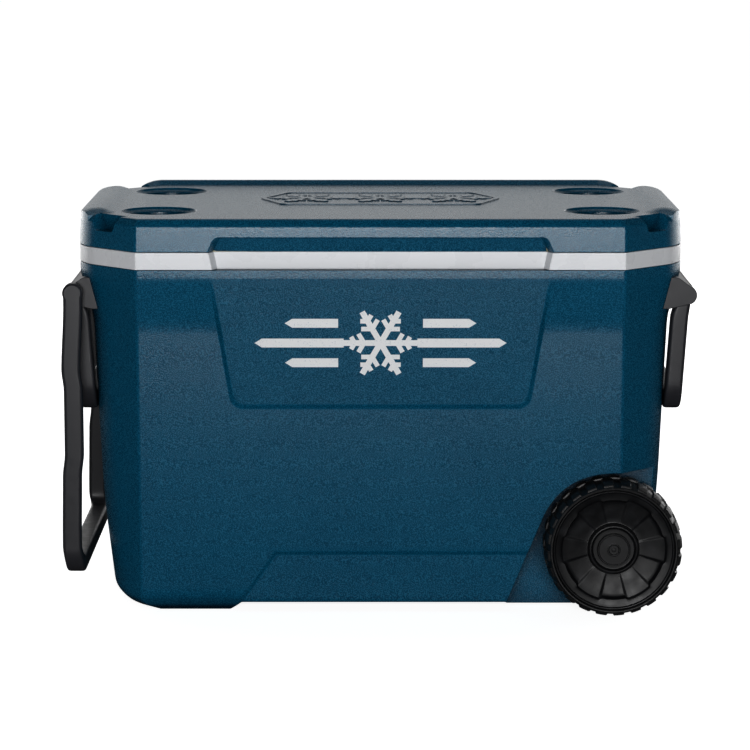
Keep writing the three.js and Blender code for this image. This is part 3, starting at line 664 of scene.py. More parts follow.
def front_levels():
    """Heights of the sampled surface, closest together where it bends."""
    around_panel = [PANEL_BOTTOM + dz for dz in (-3.2, -2.2, -1.1, 0, 1.1, 2.2, 3.2, 5, 7, 9, 12)]
    around_field = [FIELD_TOP + dz for dz in (-3, -2, -1, 0, 1, 2, 3)]
    near_strip = [330 + 4 * step for step in range(12)]
    levels = {round(point.z, 3) for point in WALL_PATH} | set(around_panel) | set(around_field)
    levels |= set(near_strip) | {PANEL_START, FIELD_FOOT, 45, 90, 150, 190, 270, 300}
    return sorted(levels)


def chest_ring(z):
    """The chest's outline at a height, with the panels and sunk fields in its front and back."""
    corner = corner_outline(*wall_at(z))
    relief = [(x, front_depth(x, z)) for x in front_columns(z)]
    left_end = [(-x, y) for x, y in reversed(corner)] + [(-x, -y) for x, y in corner]
    front = [(x, -y) for x, y in relief + corner[::-1]]
    return at_level(corner + relief[::-1] + left_end + front, z)


# ---------------- chest
def arch_outline(extra=0.0):
    """Wheel arch seen from the front, in x and z."""
    top, below = ARCH_TOP + extra, -20
    start, corner = Vector((180 - extra, 110)), Vector((202 - extra * 0.6, top - 1))
    low = [Vector((ARCH_X - 6 - extra, below)), Vector((ARCH_X - extra, 13))]
    curve = bend(start, corner, Vector((256, top)), 14)
    return low + curve + [Vector((RIGHT_OF_ALL, top)), Vector((RIGHT_OF_ALL, below))]


def wheel_pockets(extra=0.0):
    return front_and_back(prism(arch_outline(extra), "y", POCKET_WALL_Y - extra, 260))


def underside_hollows():
    middle = [
        (FOOT_END_X, -1),
        (FOOT_END_X + 14, FOOT_RISE),
        (ARCH_X - 10, FOOT_RISE),
        (ARCH_X, 2),
        (320, 2),
        (320, -1),
    ]
    between_feet = [(-90, -1), (-80, 5), (80, 5), (90, -1)]
    beside_pockets = block(ARCH_X - 11, ARCH_X + 4, POCKET_WALL_Y, BESIDE_ALL, -1, FOOT_RISE)
    hollows = [prism(middle, "y", -BESIDE_ALL, BESIDE_ALL), prism(between_feet, "x", -300, FOOT_END_X + 1)]
    return hollows + front_and_back(beside_pockets)


def sunk_field_room(extra):
    """What the inside gives up behind the sunk fields."""
    top, bottom, right, foot = FIELD_TOP + extra, -12, 170, FIELD_FOOT_X - extra
    outline = [(FIELD_TOP_X - extra, top), (right, top), (right, bottom)]
    outline += [(foot - 4, bottom), (foot, FIELD_FOOT)]
    field = prism(outline, "y", -300, extra - FIELD_FLOOR)
    for vertex in field.data.vertices:
        if vertex.co.y > -FIELD_FLOOR - 1:
            vertex.co.y -= vertex.co.z * tan(FIELD_LEAN)
    return front_and_back(field)


def drain_seat(extra=0.0):
    """The round hollow in the left wall that the drain sits in."""
    return rod("x", LEFT_OF_ALL, DRAIN_SEAT + extra, 23 + extra, DRAIN)


def drain_bore(end):
    return rod("x", LEFT_OF_ALL, end, SPOUT_RADIUS + GAP, DRAIN)


def axle_bore():
    return rod("y", -THROUGH, THROUGH, AXLE_RADIUS + GAP, HUB)


def inner_room(inset=0.0):
    """The space inside the shell's walls, before the liner is taken out."""
    bottom, top = FOOT_RISE + WALL + inset, RIM_TOP - FLANGE - inset
    heights = [bottom] + [point.z for point in WALL_PATH if bottom < point.z < top] + [top]
    room = loft([at_level(plan(*wall_at(z), WALL + inset), z) for z in heights])
    wall = WALL + inset
    return cut(room, *wheel_pockets(wall), *sunk_field_room(wall), drain_seat(wall))


def liner_tub(extra, bottom, top):
    """The liner's outside, grown by extra: a tapered tub with a step over the wheels."""
    foot = [size + extra + LINER_INSET for size in LINER_FOOT]
    mouth = [HALF_LENGTH + extra, HALF_DEPTH + extra]
    tub = loft([at_level(plan(*foot, LINER_INSET), bottom), at_level(plan(*mouth, LINER_INSET), top)])
    step = [
        (110 + extra, -10),
        (162 + extra, HUMP_TOP - 14 - extra),
        (176 + extra, HUMP_TOP - extra),
        (RIGHT_OF_ALL, HUMP_TOP - extra),
        (RIGHT_OF_ALL, -10),
    ]
    return cut(tub, prism(step, "y", -BESIDE_ALL, BESIDE_ALL))


def screw_bores(screws):
    bores = []
    for axis, centre, start, end, _, radius in screws:
        low, high = sorted((start, end))
        bores.append(rod(axis, low - GAP, high + GAP, radius + GAP, centre, sides=16))
    return bores


def shell_edge_share(middle):
    """Crisp at the rim, feet, hinges and arches, soft at the creases, untouched on the relief."""
    by_the_hinges = middle.y > 183 and middle.z > 300
    by_the_arch = middle.x > ARCH_X - 12 and middle.z < ARCH_TOP + 7
    on_relief = abs(middle.x) < 215 and middle.z > FOOT_RISE + 2
    if middle.z > RIM_TOP - 1 or middle.z < FOOT_RISE + 2 or by_the_hinges:
        return 0.3
    if by_the_arch:
        return 0.25
    return 0.0 if on_relief else 1.0


def chest_shell(screws):
    shell = loft([chest_ring(z) for z in front_levels()])
    inner, bottom, top = 170, 342, 380
    pads = [block(x - PAD_HALF, x + PAD_HALF, inner, HALF_DEPTH, bottom, top) for x in HINGE_XS.values()]
    joined(shell, *pads)
    cut(shell, *wheel_pockets(), *underside_hollows(), drain_seat())
    soften(shell, 2.6, weigh=shell_edge_share)
    mouth = loft([at_level(lid_plan(LEDGE), z) for z in (375, 400)])
    return cut(shell, inner_room(), mouth, drain_bore(-250), axle_bore(), *screw_bores(screws))


def chest_foam():
    tub = liner_tub(GAP, LINER_FLOOR - GAP, RIM_TOP + 1)
    return cut(inner_room(GAP), tub, drain_bore(-200), axle_bore())


def chest_liner():
    flange = loft([at_level(lid_plan(LEDGE + GAP), z) for z in (RIM_TOP - FLANGE + GAP, RIM_TOP)])
    joined(flange, liner_tub(0, LINER_FLOOR, RIM_TOP))
    cut(flange, liner_tub(-LINER_WALL, LINER_FLOOR + LINER_WALL, RIM_TOP + 1))
    soften(flange, 1.6, weigh=lambda middle: 0.4 if middle.z > RIM_TOP - FLANGE - 1 else 1.0)
    return cut(flange, drain_bore(-200))


# ---------------- lid
def cup_holders(extra=0.0):
    """Cup holders with a shallow outer step and rounded walls."""
    wall = [(27, CUP_DEPTH), (33, 12.6), (35.2, 9), (35.8, 4.2), (38.5, 3.6), (40.6, 2.4), (41.4, 1)]
    profile = [(0, LID_TOP - CUP_DEPTH - extra)]
    profile += [(radius + extra, LID_TOP - depth - extra) for radius, depth in wall]
    profile += [(CUP_RADIUS + extra, LID_TOP + 0.4), (CUP_RADIUS + 0.6 + extra, ABOVE_ALL), (0, ABOVE_ALL)]
    reach = [0, 5, 2.5, 1.5, 1.2, 1.2, 0.9, 0.6, 0, 0, 0]
    return four_corners(turned(eased(profile, reach, steps=3), "z", (CUP_X, CUP_Y, 0), 72))


def corner_pockets(extra=0.0):
    """Notches on the corner facets, open outwards and upwards, flared where they break the facet."""
    depth, reach = 17 + extra, 21 + extra
    rings = []
    for along, flare in ((-30, 2.0), (-1.5, 1.6), (0.5, 0.6), (2.5, 0), (reach, 0)):
        low, high, foot = 14.5 + extra + flare, 27 + extra + flare, LID_TOP - depth - flare * 0.6
        outline = [(-low, foot), (low, foot), (high, LID_TOP + 12), (-high, LID_TOP + 12)]
        rings.append([(x, along, z) for x, z in eased(outline, [2.5, 2.5, 0, 0], steps=3)])
    place = Matrix.Translation((POCKET_X, -POCKET_Y, 0)) @ Matrix.Rotation(pi / 4, 4, "Z")
    return four_corners(moved(loft(rings), place))


def finger_notch(extra=0.0):
    """Finger notch under the lid's front edge: a leaning face, slanted ends and a rounded mouth."""
    rings = []
    face = HALF_DEPTH - NOTCH_DEPTH - extra
    mouth = HALF_DEPTH - LID_DRAFT / 2
    for y, grown in ((mouth + 9, 1.8), (mouth + 0.3, 1.5), (mouth - 0.4, 0.6), (mouth - 1.4, 0), (face, 0)):
        half_low, half_top = NOTCH_BOTTOM_HALF + extra + grown, NOTCH_TOP_HALF + extra + grown
        top = NOTCH_TOP + extra + grown
        outline = [(-half_low, 380), (half_low, 380), (half_low, LID_BOTTOM), (half_top, top)]
        outline += [(-half_top, top), (-half_low, LID_BOTTOM)]
        narrower = 1 - END_SLANT / half_low if y == face else 1
        lean = NOTCH_LEAN if y == face else 0
        outline = eased(outline, [0, 0, 0, 5, 5, 0], steps=5)
        rings.append([(x * narrower, -y - max(0.0, z - LID_BOTTOM) * lean, z) for x, z in outline])
    return loft(rings)


def band_recess(extra=0.0):
    """The notch carried down through the white band, with ends that slant inwards."""
    half_low, half_top = NOTCH_BOTTOM_HALF - BAND_SLANT + extra, NOTCH_BOTTOM_HALF + extra
    outline = [(-half_low, 376), (half_low, 376), (half_top, BAND_TOP + 1), (-half_top, BAND_TOP + 1)]
    recess = prism(outline, "y", -HALF_DEPTH, -HALF_DEPTH + NOTCH_DEPTH - 2 + extra)
    for vertex in recess.data.vertices:
        if vertex.co.y > -HALF_DEPTH + 1:
            vertex.co.x *= 1 - END_SLANT / half_low
    return joined(recess, prism(outline, "y", -HALF_DEPTH - 5, -HALF_DEPTH + 0.01))


def bolster():
    """Raised end of the lid: a wide rounded ridge that sinks into the lid at both ends."""
    root = LID_TOP - 4
    profile = [(290, 430), (340, 430), (340, root), (332.4, LID_TOP), (324, 443.4)]
    profile += [(315, LIP_TOP), (306, LIP_TOP), (292, LID_TOP)]
    profile = eased(profile, [0, 0, 0, 3.5, 4, 4, 6, 0])
    rings, steps = [], 32
    for step in range(steps + 1):
        y = BOLSTER_HALF * (2 * step / steps - 1)
        share = 0.3 + 0.7 * smooth_step(BOLSTER_HALF - abs(y), 0, 14)
        rings.append([(x, y, root + (z - root) * share if z > root else z) for x, z in profile])
    return loft(rings)


def back_lip():
    """Lip along the back that bends with the corner facets, with a sloping front and rounded ends."""
    outline = [(-299, 428), (299, 428), (280, LIP_TOP), (-280, LIP_TOP)]
    ridge = prism(eased(outline, [0, 0, 13, 13], steps=8), "y", 120, HALF_DEPTH)
    return cut(ridge, loft([at_level(lid_plan(16), LID_TOP - 2), at_level(lid_plan(7), LIP_TOP + 2)]))


def lid_ridges():
    """The lip along the back and the raised ends, which stop short of the corner pockets."""
    limits = loft([at_level(lid_plan(), LID_BOTTOM), at_level(lid_plan(LID_DRAFT + 1), LIP_TOP)])
    return kept_inside(joined(back_lip(), *repeated(bolster(), LEFT_RIGHT)), limits)


def crystal(radius, thickness, arm):
    """A plain six-armed snow crystal, flat in x and y, with two pairs of twigs on each arm."""

    def bar(place, length, width):
        return moved(block(0, length, -width / 2, width / 2, 0, thickness), place)

    bars = []
    for step in range(6):
        turn = Matrix.Rotation(pi / 3 * step, 4, "Z")
        bars.append(bar(turn, radius, arm))
        for along, length in ((0.45, 0.3), (0.7, 0.2)):
            root = turn @ Matrix.Translation((radius * along, 0, 0))
            for side in (-1, 1):
                lean = root @ Matrix.Rotation(side * pi / 3, 4, "Z")
                bars.append(bar(lean, radius * length, arm * 0.8))
    hexagon = [(arm * cos(pi / 3 * i), arm * sin(pi / 3 * i)) for i in range(6)]
    return joined(prism(hexagon, "z", 0, thickness), *bars)


def lid_emblem():
    """A raised plate with three crystals, moulded in the lid's top."""
    half, depth, slant, height, y = 138, 66, 26, 1.4, 21
    tips = [(-half, y), (-half + slant, y + depth), (half - slant, y + depth)]
    tips += [(half, y), (half - slant, y - depth), (-half + slant, y - depth)]
    plate = prism(eased(tips, 7), "z", LID_TOP - 1, LID_TOP + height)
    inner = [(x * 0.955, y + (v - y) * 0.91) for x, v in tips]
    cut(plate, prism(eased(inner, 6), "z", LID_TOP + 0.4, LID_TOP + 4))
    middles = [Matrix.Translation((x, y, LID_TOP)) for x in (-84, 0, 84)]
    return joined(plate, *[moved(crystal(44, height, 7), middle) for middle in middles])


def lid_edge_share(middle):
    """Crisper along the lower edge than round the top."""
    return 0.45 if middle.z < LID_BOTTOM + 1 else 0.8


def lid_shell(screws):
    levels = ((0, LID_BOTTOM), (LID_DRAFT, LID_SHOULDER), (LID_DRAFT + LID_CHAMFER, LID_TOP))
    lid = loft([at_level(lid_plan(inset), z) for inset, z in levels])
    soften(lid, 2.2, weigh=lid_edge_share)
    joined(lid, lid_ridges())
    cut(lid, *corner_pockets(), finger_notch(), *cup_holders())
    joined(lid, lid_emblem())
    return cut(lid, lid_room(LID_WALL, LID_BOTTOM - 1), *screw_bores(screws))


def lid_room(inset, bottom):
    """The space inside the lid's top shell."""
    levels = [(bottom, inset), (LID_SHOULDER - inset / 2, LID_DRAFT + inset)]
    levels.append((LID_TOP - inset, LID_DRAFT + LID_CHAMFER + inset / 2))
    room = loft([at_level(lid_plan(step), z) for z, step in levels])
    return cut(room, *cup_holders(inset), *corner_pockets(inset), finger_notch(inset))


def lid_foam():
    around = LID_WALL + GAP
    plug = lid_plan(PLUG_INSET + around)
    foam = lid_room(around, RIM_TOP + GAP + around)
    joined(foam, loft([at_level(plug, z) for z in (BAND_LOW.z + around, RIM_TOP + around + 4)]))
    return cut(foam, band_recess(around))


def lid_liner():
    """The white band with the plug under it that reaches into the chest."""
    band = loft([at_level(lid_plan(), z) for z in (RIM_TOP + GAP, BAND_TOP)])
    plug = [at_level(lid_plan(PLUG_INSET + 1), BAND_LOW.z), at_level(lid_plan(PLUG_INSET), RIM_TOP + 1)]
    joined(band, loft(plug))
    cut(band, band_recess())
    soften(band, 0.8)
    tray = loft([at_level(lid_plan(LID_WALL), z) for z in (RIM_TOP + GAP + LID_WALL, BAND_TOP + 1)])
    cut(tray, band_recess(LID_WALL))
    inner = lid_plan(PLUG_INSET + LID_WALL)
    plug_room = loft([at_level(inner, z) for z in (BAND_LOW.z + LID_WALL, RIM_TOP + LID_WALL + 2)])
    return cut(band, tray, plug_room)


# ---------------- prints
def front_print():
    """White print on the front panel: one crystal between two sets of pointed bars."""
    centre_z, thickness, sunk = 305, 0.5, 0.25
    row_height, half_bar, point = 22, 5, 8
    shape = crystal(40, thickness, 6.5)
    bars = []
    for side in (-1, 1):
        for row, (near, far) in ((1, (46, 104)), (0, (40, 137)), (-1, (46, 104))):
            v = row_height * row
            low, high = v - half_bar, v + half_bar
            outline = [(near, low), (far - point, low), (far, v), (far - point, high), (near, high)]
            bars.append(prism([(side * x, y) for x, y in outline], "z", 0, thickness))
    joined(shape, *bars)
    place = Matrix.Translation((0, -panel_face(centre_z) + sunk, centre_z))
    return moved(shape, place @ Matrix.Rotation(pi / 2 + PANEL_LEAN, 4, "X"))


# ---------------- screws, pins and hinges
def leaf_screws(z):
    """Two screws through every hinge leaf: (axis, centre, tip, head's underside, head radius, radius)."""
    face = HINGE_BACK + PLATE + GAP
    xs = [x + dx for x in HINGE_XS.values() for dx in (-LEAF_SCREW_X, LEAF_SCREW_X)]
    return [("y", (x, 0, z), HALF_DEPTH - 3, face, 4.0, 1.8) for x in xs]


def bracket_screws(side):
    """The three screws of a bracket, told like the screws of the leaves."""
    return [("x", (0, y, SCREW_HEIGHT), side * 324.5, side * 345.8, 4.2, 2.0) for y in SCREW_YS]


BODY_LEAF_SCREWS = leaf_screws(357)
LID_LEAF_SCREWS = leaf_screws(418)


def screw(axis, centre, tip, seat, head_radius, radius):
    """A pan-head screw with a cross recess."""
    out = 1 if seat > tip else -1
    height = 2.2
    head = [(0, seat), (head_radius, seat), (head_radius, seat + out * 0.9)]
    head += [(head_radius * 0.8, seat + out * height), (0, seat + out * height)]
    body = turned(eased(head, [0, 0, 0.5, 0.9, 0], steps=3), axis, centre, 32)
    low, high = sorted((tip, seat + out * 0.5))
    joined(body, rod(axis, low, high, radius, centre, 20, ease=0.3))
    u, v = [value for name, value in zip("xyz", centre) if name != axis]
    low, high = sorted((seat + out * (height - 1.1), seat + out * (height + 1)))
    slots = []
    for wide, tall in ((head_radius * 0.55, 0.55), (0.55, head_radius * 0.55)):
        outline = [(u - wide, v - tall), (u + wide, v - tall), (u + wide, v + tall), (u - wide, v + tall)]
        slots.append(prism(outline, axis, low, high))
    return cut(body, *slots)


def knuckle(x0, x1, toward):
    """Barrel round the pin, tied to its leaf by a web that runs up or down."""
    web = block(x0, x1, HINGE_BACK, HINGE_BACK + PLATE, *sorted((LID_PIN.z, toward)))
    return joined(rod("x", x0, x1, KNUCKLE_RADIUS, (0, HINGE_BACK + KNUCKLE_OUT, LID_PIN.z)), web)


def hinge_leaf(x, is_lid, screws):
    """One moulded leaf with its knuckles."""
    left, right, inner = x - LEAF_HALF, x + LEAF_HALF, LEAF_MIDDLE + 0.4
    if is_lid:
        bottom, top, edge, free = 398, 431, 399, [0, 0, LEAF_CORNER, LEAF_CORNER]
        spans = [(left, x - inner), (x + inner, right)]
    else:
        bottom, top, edge, free = 346, 384, 383, [LEAF_CORNER, LEAF_CORNER, 0, 0]
        spans = [(x - LEAF_MIDDLE, x + LEAF_MIDDLE)]
    outline = [(left, bottom), (right, bottom), (right, top), (left, top)]
    leaf = prism(eased(outline, free), "y", HINGE_BACK, HINGE_BACK + PLATE)
    joined(leaf, *[knuckle(x0, x1, edge) for x0, x1 in spans])
    soften(leaf, 0.7)
    bore = rod("x", x - 40, x + 40, HINGE_PIN_RADIUS + GAP, LID_PIN)
    return cut(leaf, bore, *screw_bores(screws))


def hinge_pin(x):
    end = LEAF_HALF + GAP
    pin = rod("x", x - end - 1, x + end + 1, HINGE_PIN_RADIUS, LID_PIN, 32)
    heads = []
    for side in (-1, 1):
        low, high = sorted((x + side * end, x + side * (end + 2)))
        heads.append(rod("x", low, high, 3.4, LID_PIN, 32, ease=0.6))
    return joined(pin, *heads)


# ---------------- brackets and handles
def bracket_profile():
    """The bracket's section in x and z: a sloping top, a round nose and a slanting underside."""
    x, z, radius, steps = 338, SCREW_HEIGHT, 10.5, 12
    angles = [radians(72 - 135 * step / steps) for step in range(steps + 1)]
    nose = [(x + radius * cos(angle), z + radius * sin(angle)) for angle in angles]
    return [(300, 370), (326, 370), (329, 369), (341, 360.3)] + nose + [(318, 335), (300, 335)]


def bracket(side):
    body = prism(bracket_profile(), "y", -BRACKET_HALF, BRACKET_HALF)
    outside = loft([at_level(plan(*wall_at(z), -GAP), z) for z in (point.z for point in WALL_PATH)])
    slots = front_and_back(block(290, 370, LIFT_ARM[0] - 0.8, LIFT_ARM[1] + 0.8, 320, 359))
    cut(body, outside, *slots)
    soften(body, 0.7)
    counterbores = [rod("x", 345.5, RIGHT_OF_ALL, 5, (0, y, SCREW_HEIGHT)) for y in SCREW_YS]
    lift_bore = rod("y", 95.7, 135.3, PIN_BORE, LIFT_PIVOT)
    cut(body, *counterbores, *screw_bores(bracket_screws(1)), *front_and_back(lift_bore))
    if side > 0:
        return body
    tow_bore = rod("y", 136.2, THROUGH, PIN_BORE, TOW_PIVOT)
    return cut(moved(body, LEFT_RIGHT), *front_and_back(tow_bore))


def rounded_box(half_u, half_v, radius):
    """Outline of a rectangle with rounded corners."""
    corners = [(-half_u, -half_v), (half_u, -half_v), (half_u, half_v), (-half_u, half_v)]
    return [tuple(point) for point in eased(corners, radius, steps=4)]


def swept_frame(half_width, top, bottom, corner, section_at):
    """A U-shaped bar in y and z. section_at(z) gives the middle's x and the section's two half sizes."""
    corners = [(half_width, top), (half_width, bottom), (-half_width, bottom), (-half_width, top)]
    path = eased(corners, [0, corner, corner, 0], closed=False, steps=12)
    points = path[:1]
    for end in path[1:]:
        start = points[-1]
        pieces = max(1, round((end - start).length / FRAME_STEP))
        points += [start.lerp(end, i / pieces) for i in range(1, pieces + 1)]
    rings = []
    for i, point in enumerate(points):
        along = (points[min(i + 1, len(points) - 1)] - points[max(i - 1, 0)]).normalized()
        x, half_x, half_across = section_at(point.y)
        section = rounded_box(half_x, half_across, 4)
        rings.append([(x + u, point.x + along.y * v, point.y - along.x * v) for u, v in section])
    return loft(rings)


def lift_handle(side):
    """Lifting handle: two arms and a grip, leaning in with the wall."""
    near, far = LIFT_ARM
    grip, eye = 229, 8

    def section_at(z):
        share = smooth_step(z, 322, LIFT_PIVOT.z - 4)
        leaning = 325.2 + (z - 231) * 0.067
        return leaning + (LIFT_PIVOT.x - leaning) * share, 9.4 - 1.6 * share, (far - near) / 2

    loop = swept_frame((near + far) / 2, LIFT_PIVOT.z, grip, 20, section_at)
    joined(loop, *front_and_back(rod("y", near, far, eye, LIFT_PIVOT, ease=1.5)))
    cut(loop, rod("y", -THROUGH, THROUGH, PIN_BORE + 0.1, LIFT_PIVOT))
    return on_side(side, loop)


def lift_pin(side):
    near, far = LIFT_ARM
    return on_side(side, rod("y", near - 12, far + 5, PIN_RADIUS, LIFT_PIVOT, ease=0.6))


def tow_handle():
    """Tow handle: a wide loop outside the left bracket, with a step in each arm."""
    near, far = TOW_ARM
    top, bottom, eye = TOW_PIVOT.z, 48, 11

    def section_at(z):
        out = 3.2 * smooth_step(top - z, 10, 90) + 1.5 * smooth_step(top - z, 180, 290)
        step_in = 2.4 * (smooth_step(z, 150, 176) - smooth_step(z, 246, 270))
        foot = 1 - smooth_step(z, bottom, bottom + 24)
        return TOW_PIVOT.x - out + step_in + 3.2 * foot, 10.3, (far - near) / 2 + 1.9 * foot

    loop = swept_frame((near + far) / 2, top, bottom, 22, section_at)
    joined(loop, *front_and_back(rod("y", near, far, eye, TOW_PIVOT, ease=2)))
    return cut(loop, rod("y", -159.3, 159.3, PIN_BORE + 0.1, TOW_PIVOT))


def tow_pin():
    return rod("y", 136.5, 159, PIN_RADIUS, TOW_PIVOT, ease=0.6)


# ---------------- wheels
LUGS = 24  # in each of the two rows
LUG_HEIGHT = 1.9
SECTORS = 6


def round_the_hub(profile_at, angles):
    """A solid of revolution about the axle whose closed profile may change with the angle."""
    rings = []
    for angle in angles:
        ring = profile_at(angle)
        rings.append([(HUB.x + r * cos(angle), y, HUB.z + r * sin(angle)) for r, y in ring])
    return loft(rings, closed=True)


def lug(angle, phase):
    """1 on a lug and 0 between lugs, with short flanks."""
    share = (angle * LUGS / (2 * pi) + phase) % 1
    return smooth_step(share, 0.02, 0.08) - smooth_step(share, 0.62, 0.68)


def tyre():
    """Crowned tyre with two staggered rows of low lugs that wrap over its shoulders."""
    middle = (TYRE_INNER + TYRE_OUTER) / 2
    half = (TYRE_OUTER - TYRE_INNER) / 2
    crown = TYRE_RADIUS - LUG_HEIGHT
    # the bead: steps out from the disc, steps in from the tyre's side, share of the lug height
    bead = [(0, 2.0, 0), (0.3, 0.7, 0), (1.0, 0.1, 0), (2.0, 0, 0), (2.9, 0.5, 0), (3.4, 1.6, 0)]
    bead += [(3.7, 2.3, 0), (3.8, 2.6, 0.5), (4.0, 3.1, 0.9), (4.3, 4.0, 1)]
    section = [(DISC_RADIUS + out, half - inwards, rise) for out, inwards, rise in bead]
    # the tread: radius, place across the tyre, share of the lug height
    section += [(crown - 1.9, half - 7.0, 1), (crown - 0.8, half - 10.5, 1), (crown - 0.1, half - 14.0, 1)]
    section += [(crown, 2.4, 1), (crown, 1.9, 0.85), (crown, 1.6, 0), (crown, 0.6, 0)]

    def profile_at(angle):
        near = [(r + LUG_HEIGHT * rise * lug(angle, 0), middle + y) for r, y, rise in section]
        far = [(r + LUG_HEIGHT * rise * lug(angle, 0.5), middle - y) for r, y, rise in section]
        return near + far[::-1]

    flanks = [edge + step * 0.02 for edge in (0.02, 0.12, 0.52, 0.62) for step in range(4)]
    shares = sorted(flanks + [0.25, 0.35, 0.44, 0.75, 0.85, 0.94])
    return round_the_hub(profile_at, [2 * pi * (i + share) / LUGS for i in range(LUGS) for share in shares])


def sunk_sector(angle):
    """1 in the sunk sectors of the wheel's face, one of which is at the bottom, and 0 in the others."""
    turn = (angle * SECTORS / (2 * pi) + 0.5) % 1
    from_middle = abs((turn + 0.5) % 1 - 0.5)
    return 1 - smooth_step(from_middle, 0.21, 0.29)


def wheel_disc():
    """Moulded wheel centre: rim, bowl with alternately sunk sectors, and a ring round the hub."""
    out, inner = TYRE_OUTER, TYRE_INNER
    rim = DISC_RADIUS - GAP
    bore = AXLE_RADIUS + GAP
    back = [(bore, out - 10), (bore, inner - 1), (16, inner - 1), (16, out - 20)]
    back += [(61, out - 20), (61, inner + 2), (rim, inner + 2), (rim, out - 2)]
    # radius and depth below the tyre's side, and what a sunk sector adds to them in the bowl
    lip = [(0.1, 1.2), (0.5, 0.6), (1.2, 0.3), (2.0, 0.6), (2.5, 1.6), (3.1, 2.4), (4.2, 2.7)]
    bowl = [(60.0, 3.5, 0, 0), (58.6, 4.0, -2.6, 0), (57.8, 4.5, -2.8, 0.4), (57.3, 5.4, -3.0, 1.2)]
    bowl += [(56.9, 6.2, -3.1, 1.8), (56.0, 7.0, -3.0, 2.0), (50.0, 8.4, 0, 1.7), (42.0, 10.4, 0, 1.3)]
    bowl += [(34.0, 12.4, 0, 0.8), (29.6, 13.4, 0, 0.4), (28.6, 13.2, 0, 0.2)]
    ring = [(28.1, 12.0), (27.6, 8.0), (27.0, 6.6), (26.2, 6.0), (25.2, 5.9), (24.4, 6.3)]
    ring += [(23.8, 7.4), (23.2, 9.0), (22.4, 9.8), (21.0, 10.0)]
    face = [(rim - inwards, depth, 0, 0) for inwards, depth in lip] + bowl
    face += [(radius, depth, 0, 0) for radius, depth in ring]

    def profile_at(angle):
        sunk = sunk_sector(angle)
        front = [(r + across * sunk, out - depth - more * sunk) for r, depth, across, more in face]
        return back + front

    flanks = [edge + step * 0.01 for edge in (0.21, 0.71) for step in range(9)]
    between = [0.0, 0.06, 0.12, 0.18, 0.32, 0.38, 0.44, 0.5, 0.56, 0.62, 0.68, 0.82, 0.88, 0.94]
    shares = sorted(flanks + between)
    turns = [2 * pi * (i + share) / SECTORS for i in range(SECTORS) for share in shares]
    return round_the_hub(profile_at, turns)


def hub_cap():
    """A flat cap with a thin raised ring round its edge and a small ringed dimple."""
    out = TYRE_OUTER
    face = out - 4.4
    inside = [(0, face - 2), (14, face - 2), (14, out - 9.7), (18, out - 9.7)]
    ring = [(18, face), (17.5, face + 0.9), (16.6, face + 0.9), (16.1, face)]
    dimple = [(7.2, face), (6.8, face + 0.5), (5.8, face + 0.5), (5.2, face - 1)]
    button = [(2.4, face - 1), (2, face - 0.4), (0, face - 0.4)]
    reach = [0, 0, 0, 0.3, 0.4, 0.3, 0.3, 0.3, 0.3, 0.2, 0.3, 0.3, 0.2, 0.2, 0]
    profile = eased(inside + ring + dimple + button, reach, steps=3)
    return turned(profile, "y", (HUB.x, 0, HUB.z), 72)


def ring_on_axle(low, high, radius, ease):
    ring = rod("y", low, high, radius, HUB, ease=ease)
    return cut(ring, rod("y", low - 1, high + 1, AXLE_RADIUS + GAP, HUB))


def axle_nut():
    return ring_on_axle(TYRE_OUTER - 9.6, TYRE_OUTER - 8.1, 12, 0.4)


def washer():
    return ring_on_axle(POCKET_WALL_Y + GAP, TYRE_INNER - 1 - GAP, 14, 0.3)


def axle():
    end = TYRE_OUTER - 7 - GAP
    return rod("y", -end, end, AXLE_RADIUS, HUB, ease=0.8)


# ---------------- drain
def drain_spout():
    """Flanged tube through the wall, open from end to end."""
    seat = DRAIN_SEAT
    tube = rod("x", seat - 6, -264, SPOUT_RADIUS, DRAIN, ease=0.5)
    joined(tube, rod("x", seat - 3.3, seat - GAP, SPOUT_RADIUS + 3, DRAIN, ease=0.4))
    return cut(tube, rod("x", seat - 10, -250, SPOUT_RADIUS - 3, DRAIN))


def drain_cap():
    """Screw cap with a ribbed edge and a grip bar."""
    seat, rib_count, rib_radius = DRAIN_SEAT, 24, 18
    cap = rod("x", seat - 11, seat - 3.6, rib_radius + 0.4, DRAIN, 72, ease=1.2)
    ribs = []
    for i in range(rib_count):
        angle = 2 * pi * i / rib_count
        centre = (0, DRAIN.y + rib_radius * cos(angle), DRAIN.z + rib_radius * sin(angle))
        ribs.append(rod("x", seat - 9.6, seat - 4, 0.95, centre, 12))
    joined(cap, *ribs)
    bar = block(seat - 15, seat - 10, DRAIN.y - 3, DRAIN.y + 3, DRAIN.z - 14, DRAIN.z + 14)
    joined(cap, soften(bar, 1.2))
    return cut(cap, rod("x", seat - 7, seat, SPOUT_RADIUS + GAP, DRAIN))


# ---------------- assembly
show("body_shell", chest_shell(BODY_LEAF_SCREWS + bracket_screws(1) + bracket_screws(-1)), "shell_blue")
show("body_foam", chest_foam(), "foam")
show("body_liner", chest_liner(), "liner_white")
show("drain_spout", drain_spout(), "liner_white")
show("drain_cap", drain_cap(), "satin_black")
show("lid_shell", lid_shell(LID_LEAF_SCREWS), "shell_blue")
show("lid_foam", lid_foam(), "foam")
show("lid_liner", lid_liner(), "liner_white")
show("front_print", front_print(), "liner_white", look="print_white", rides="chest")

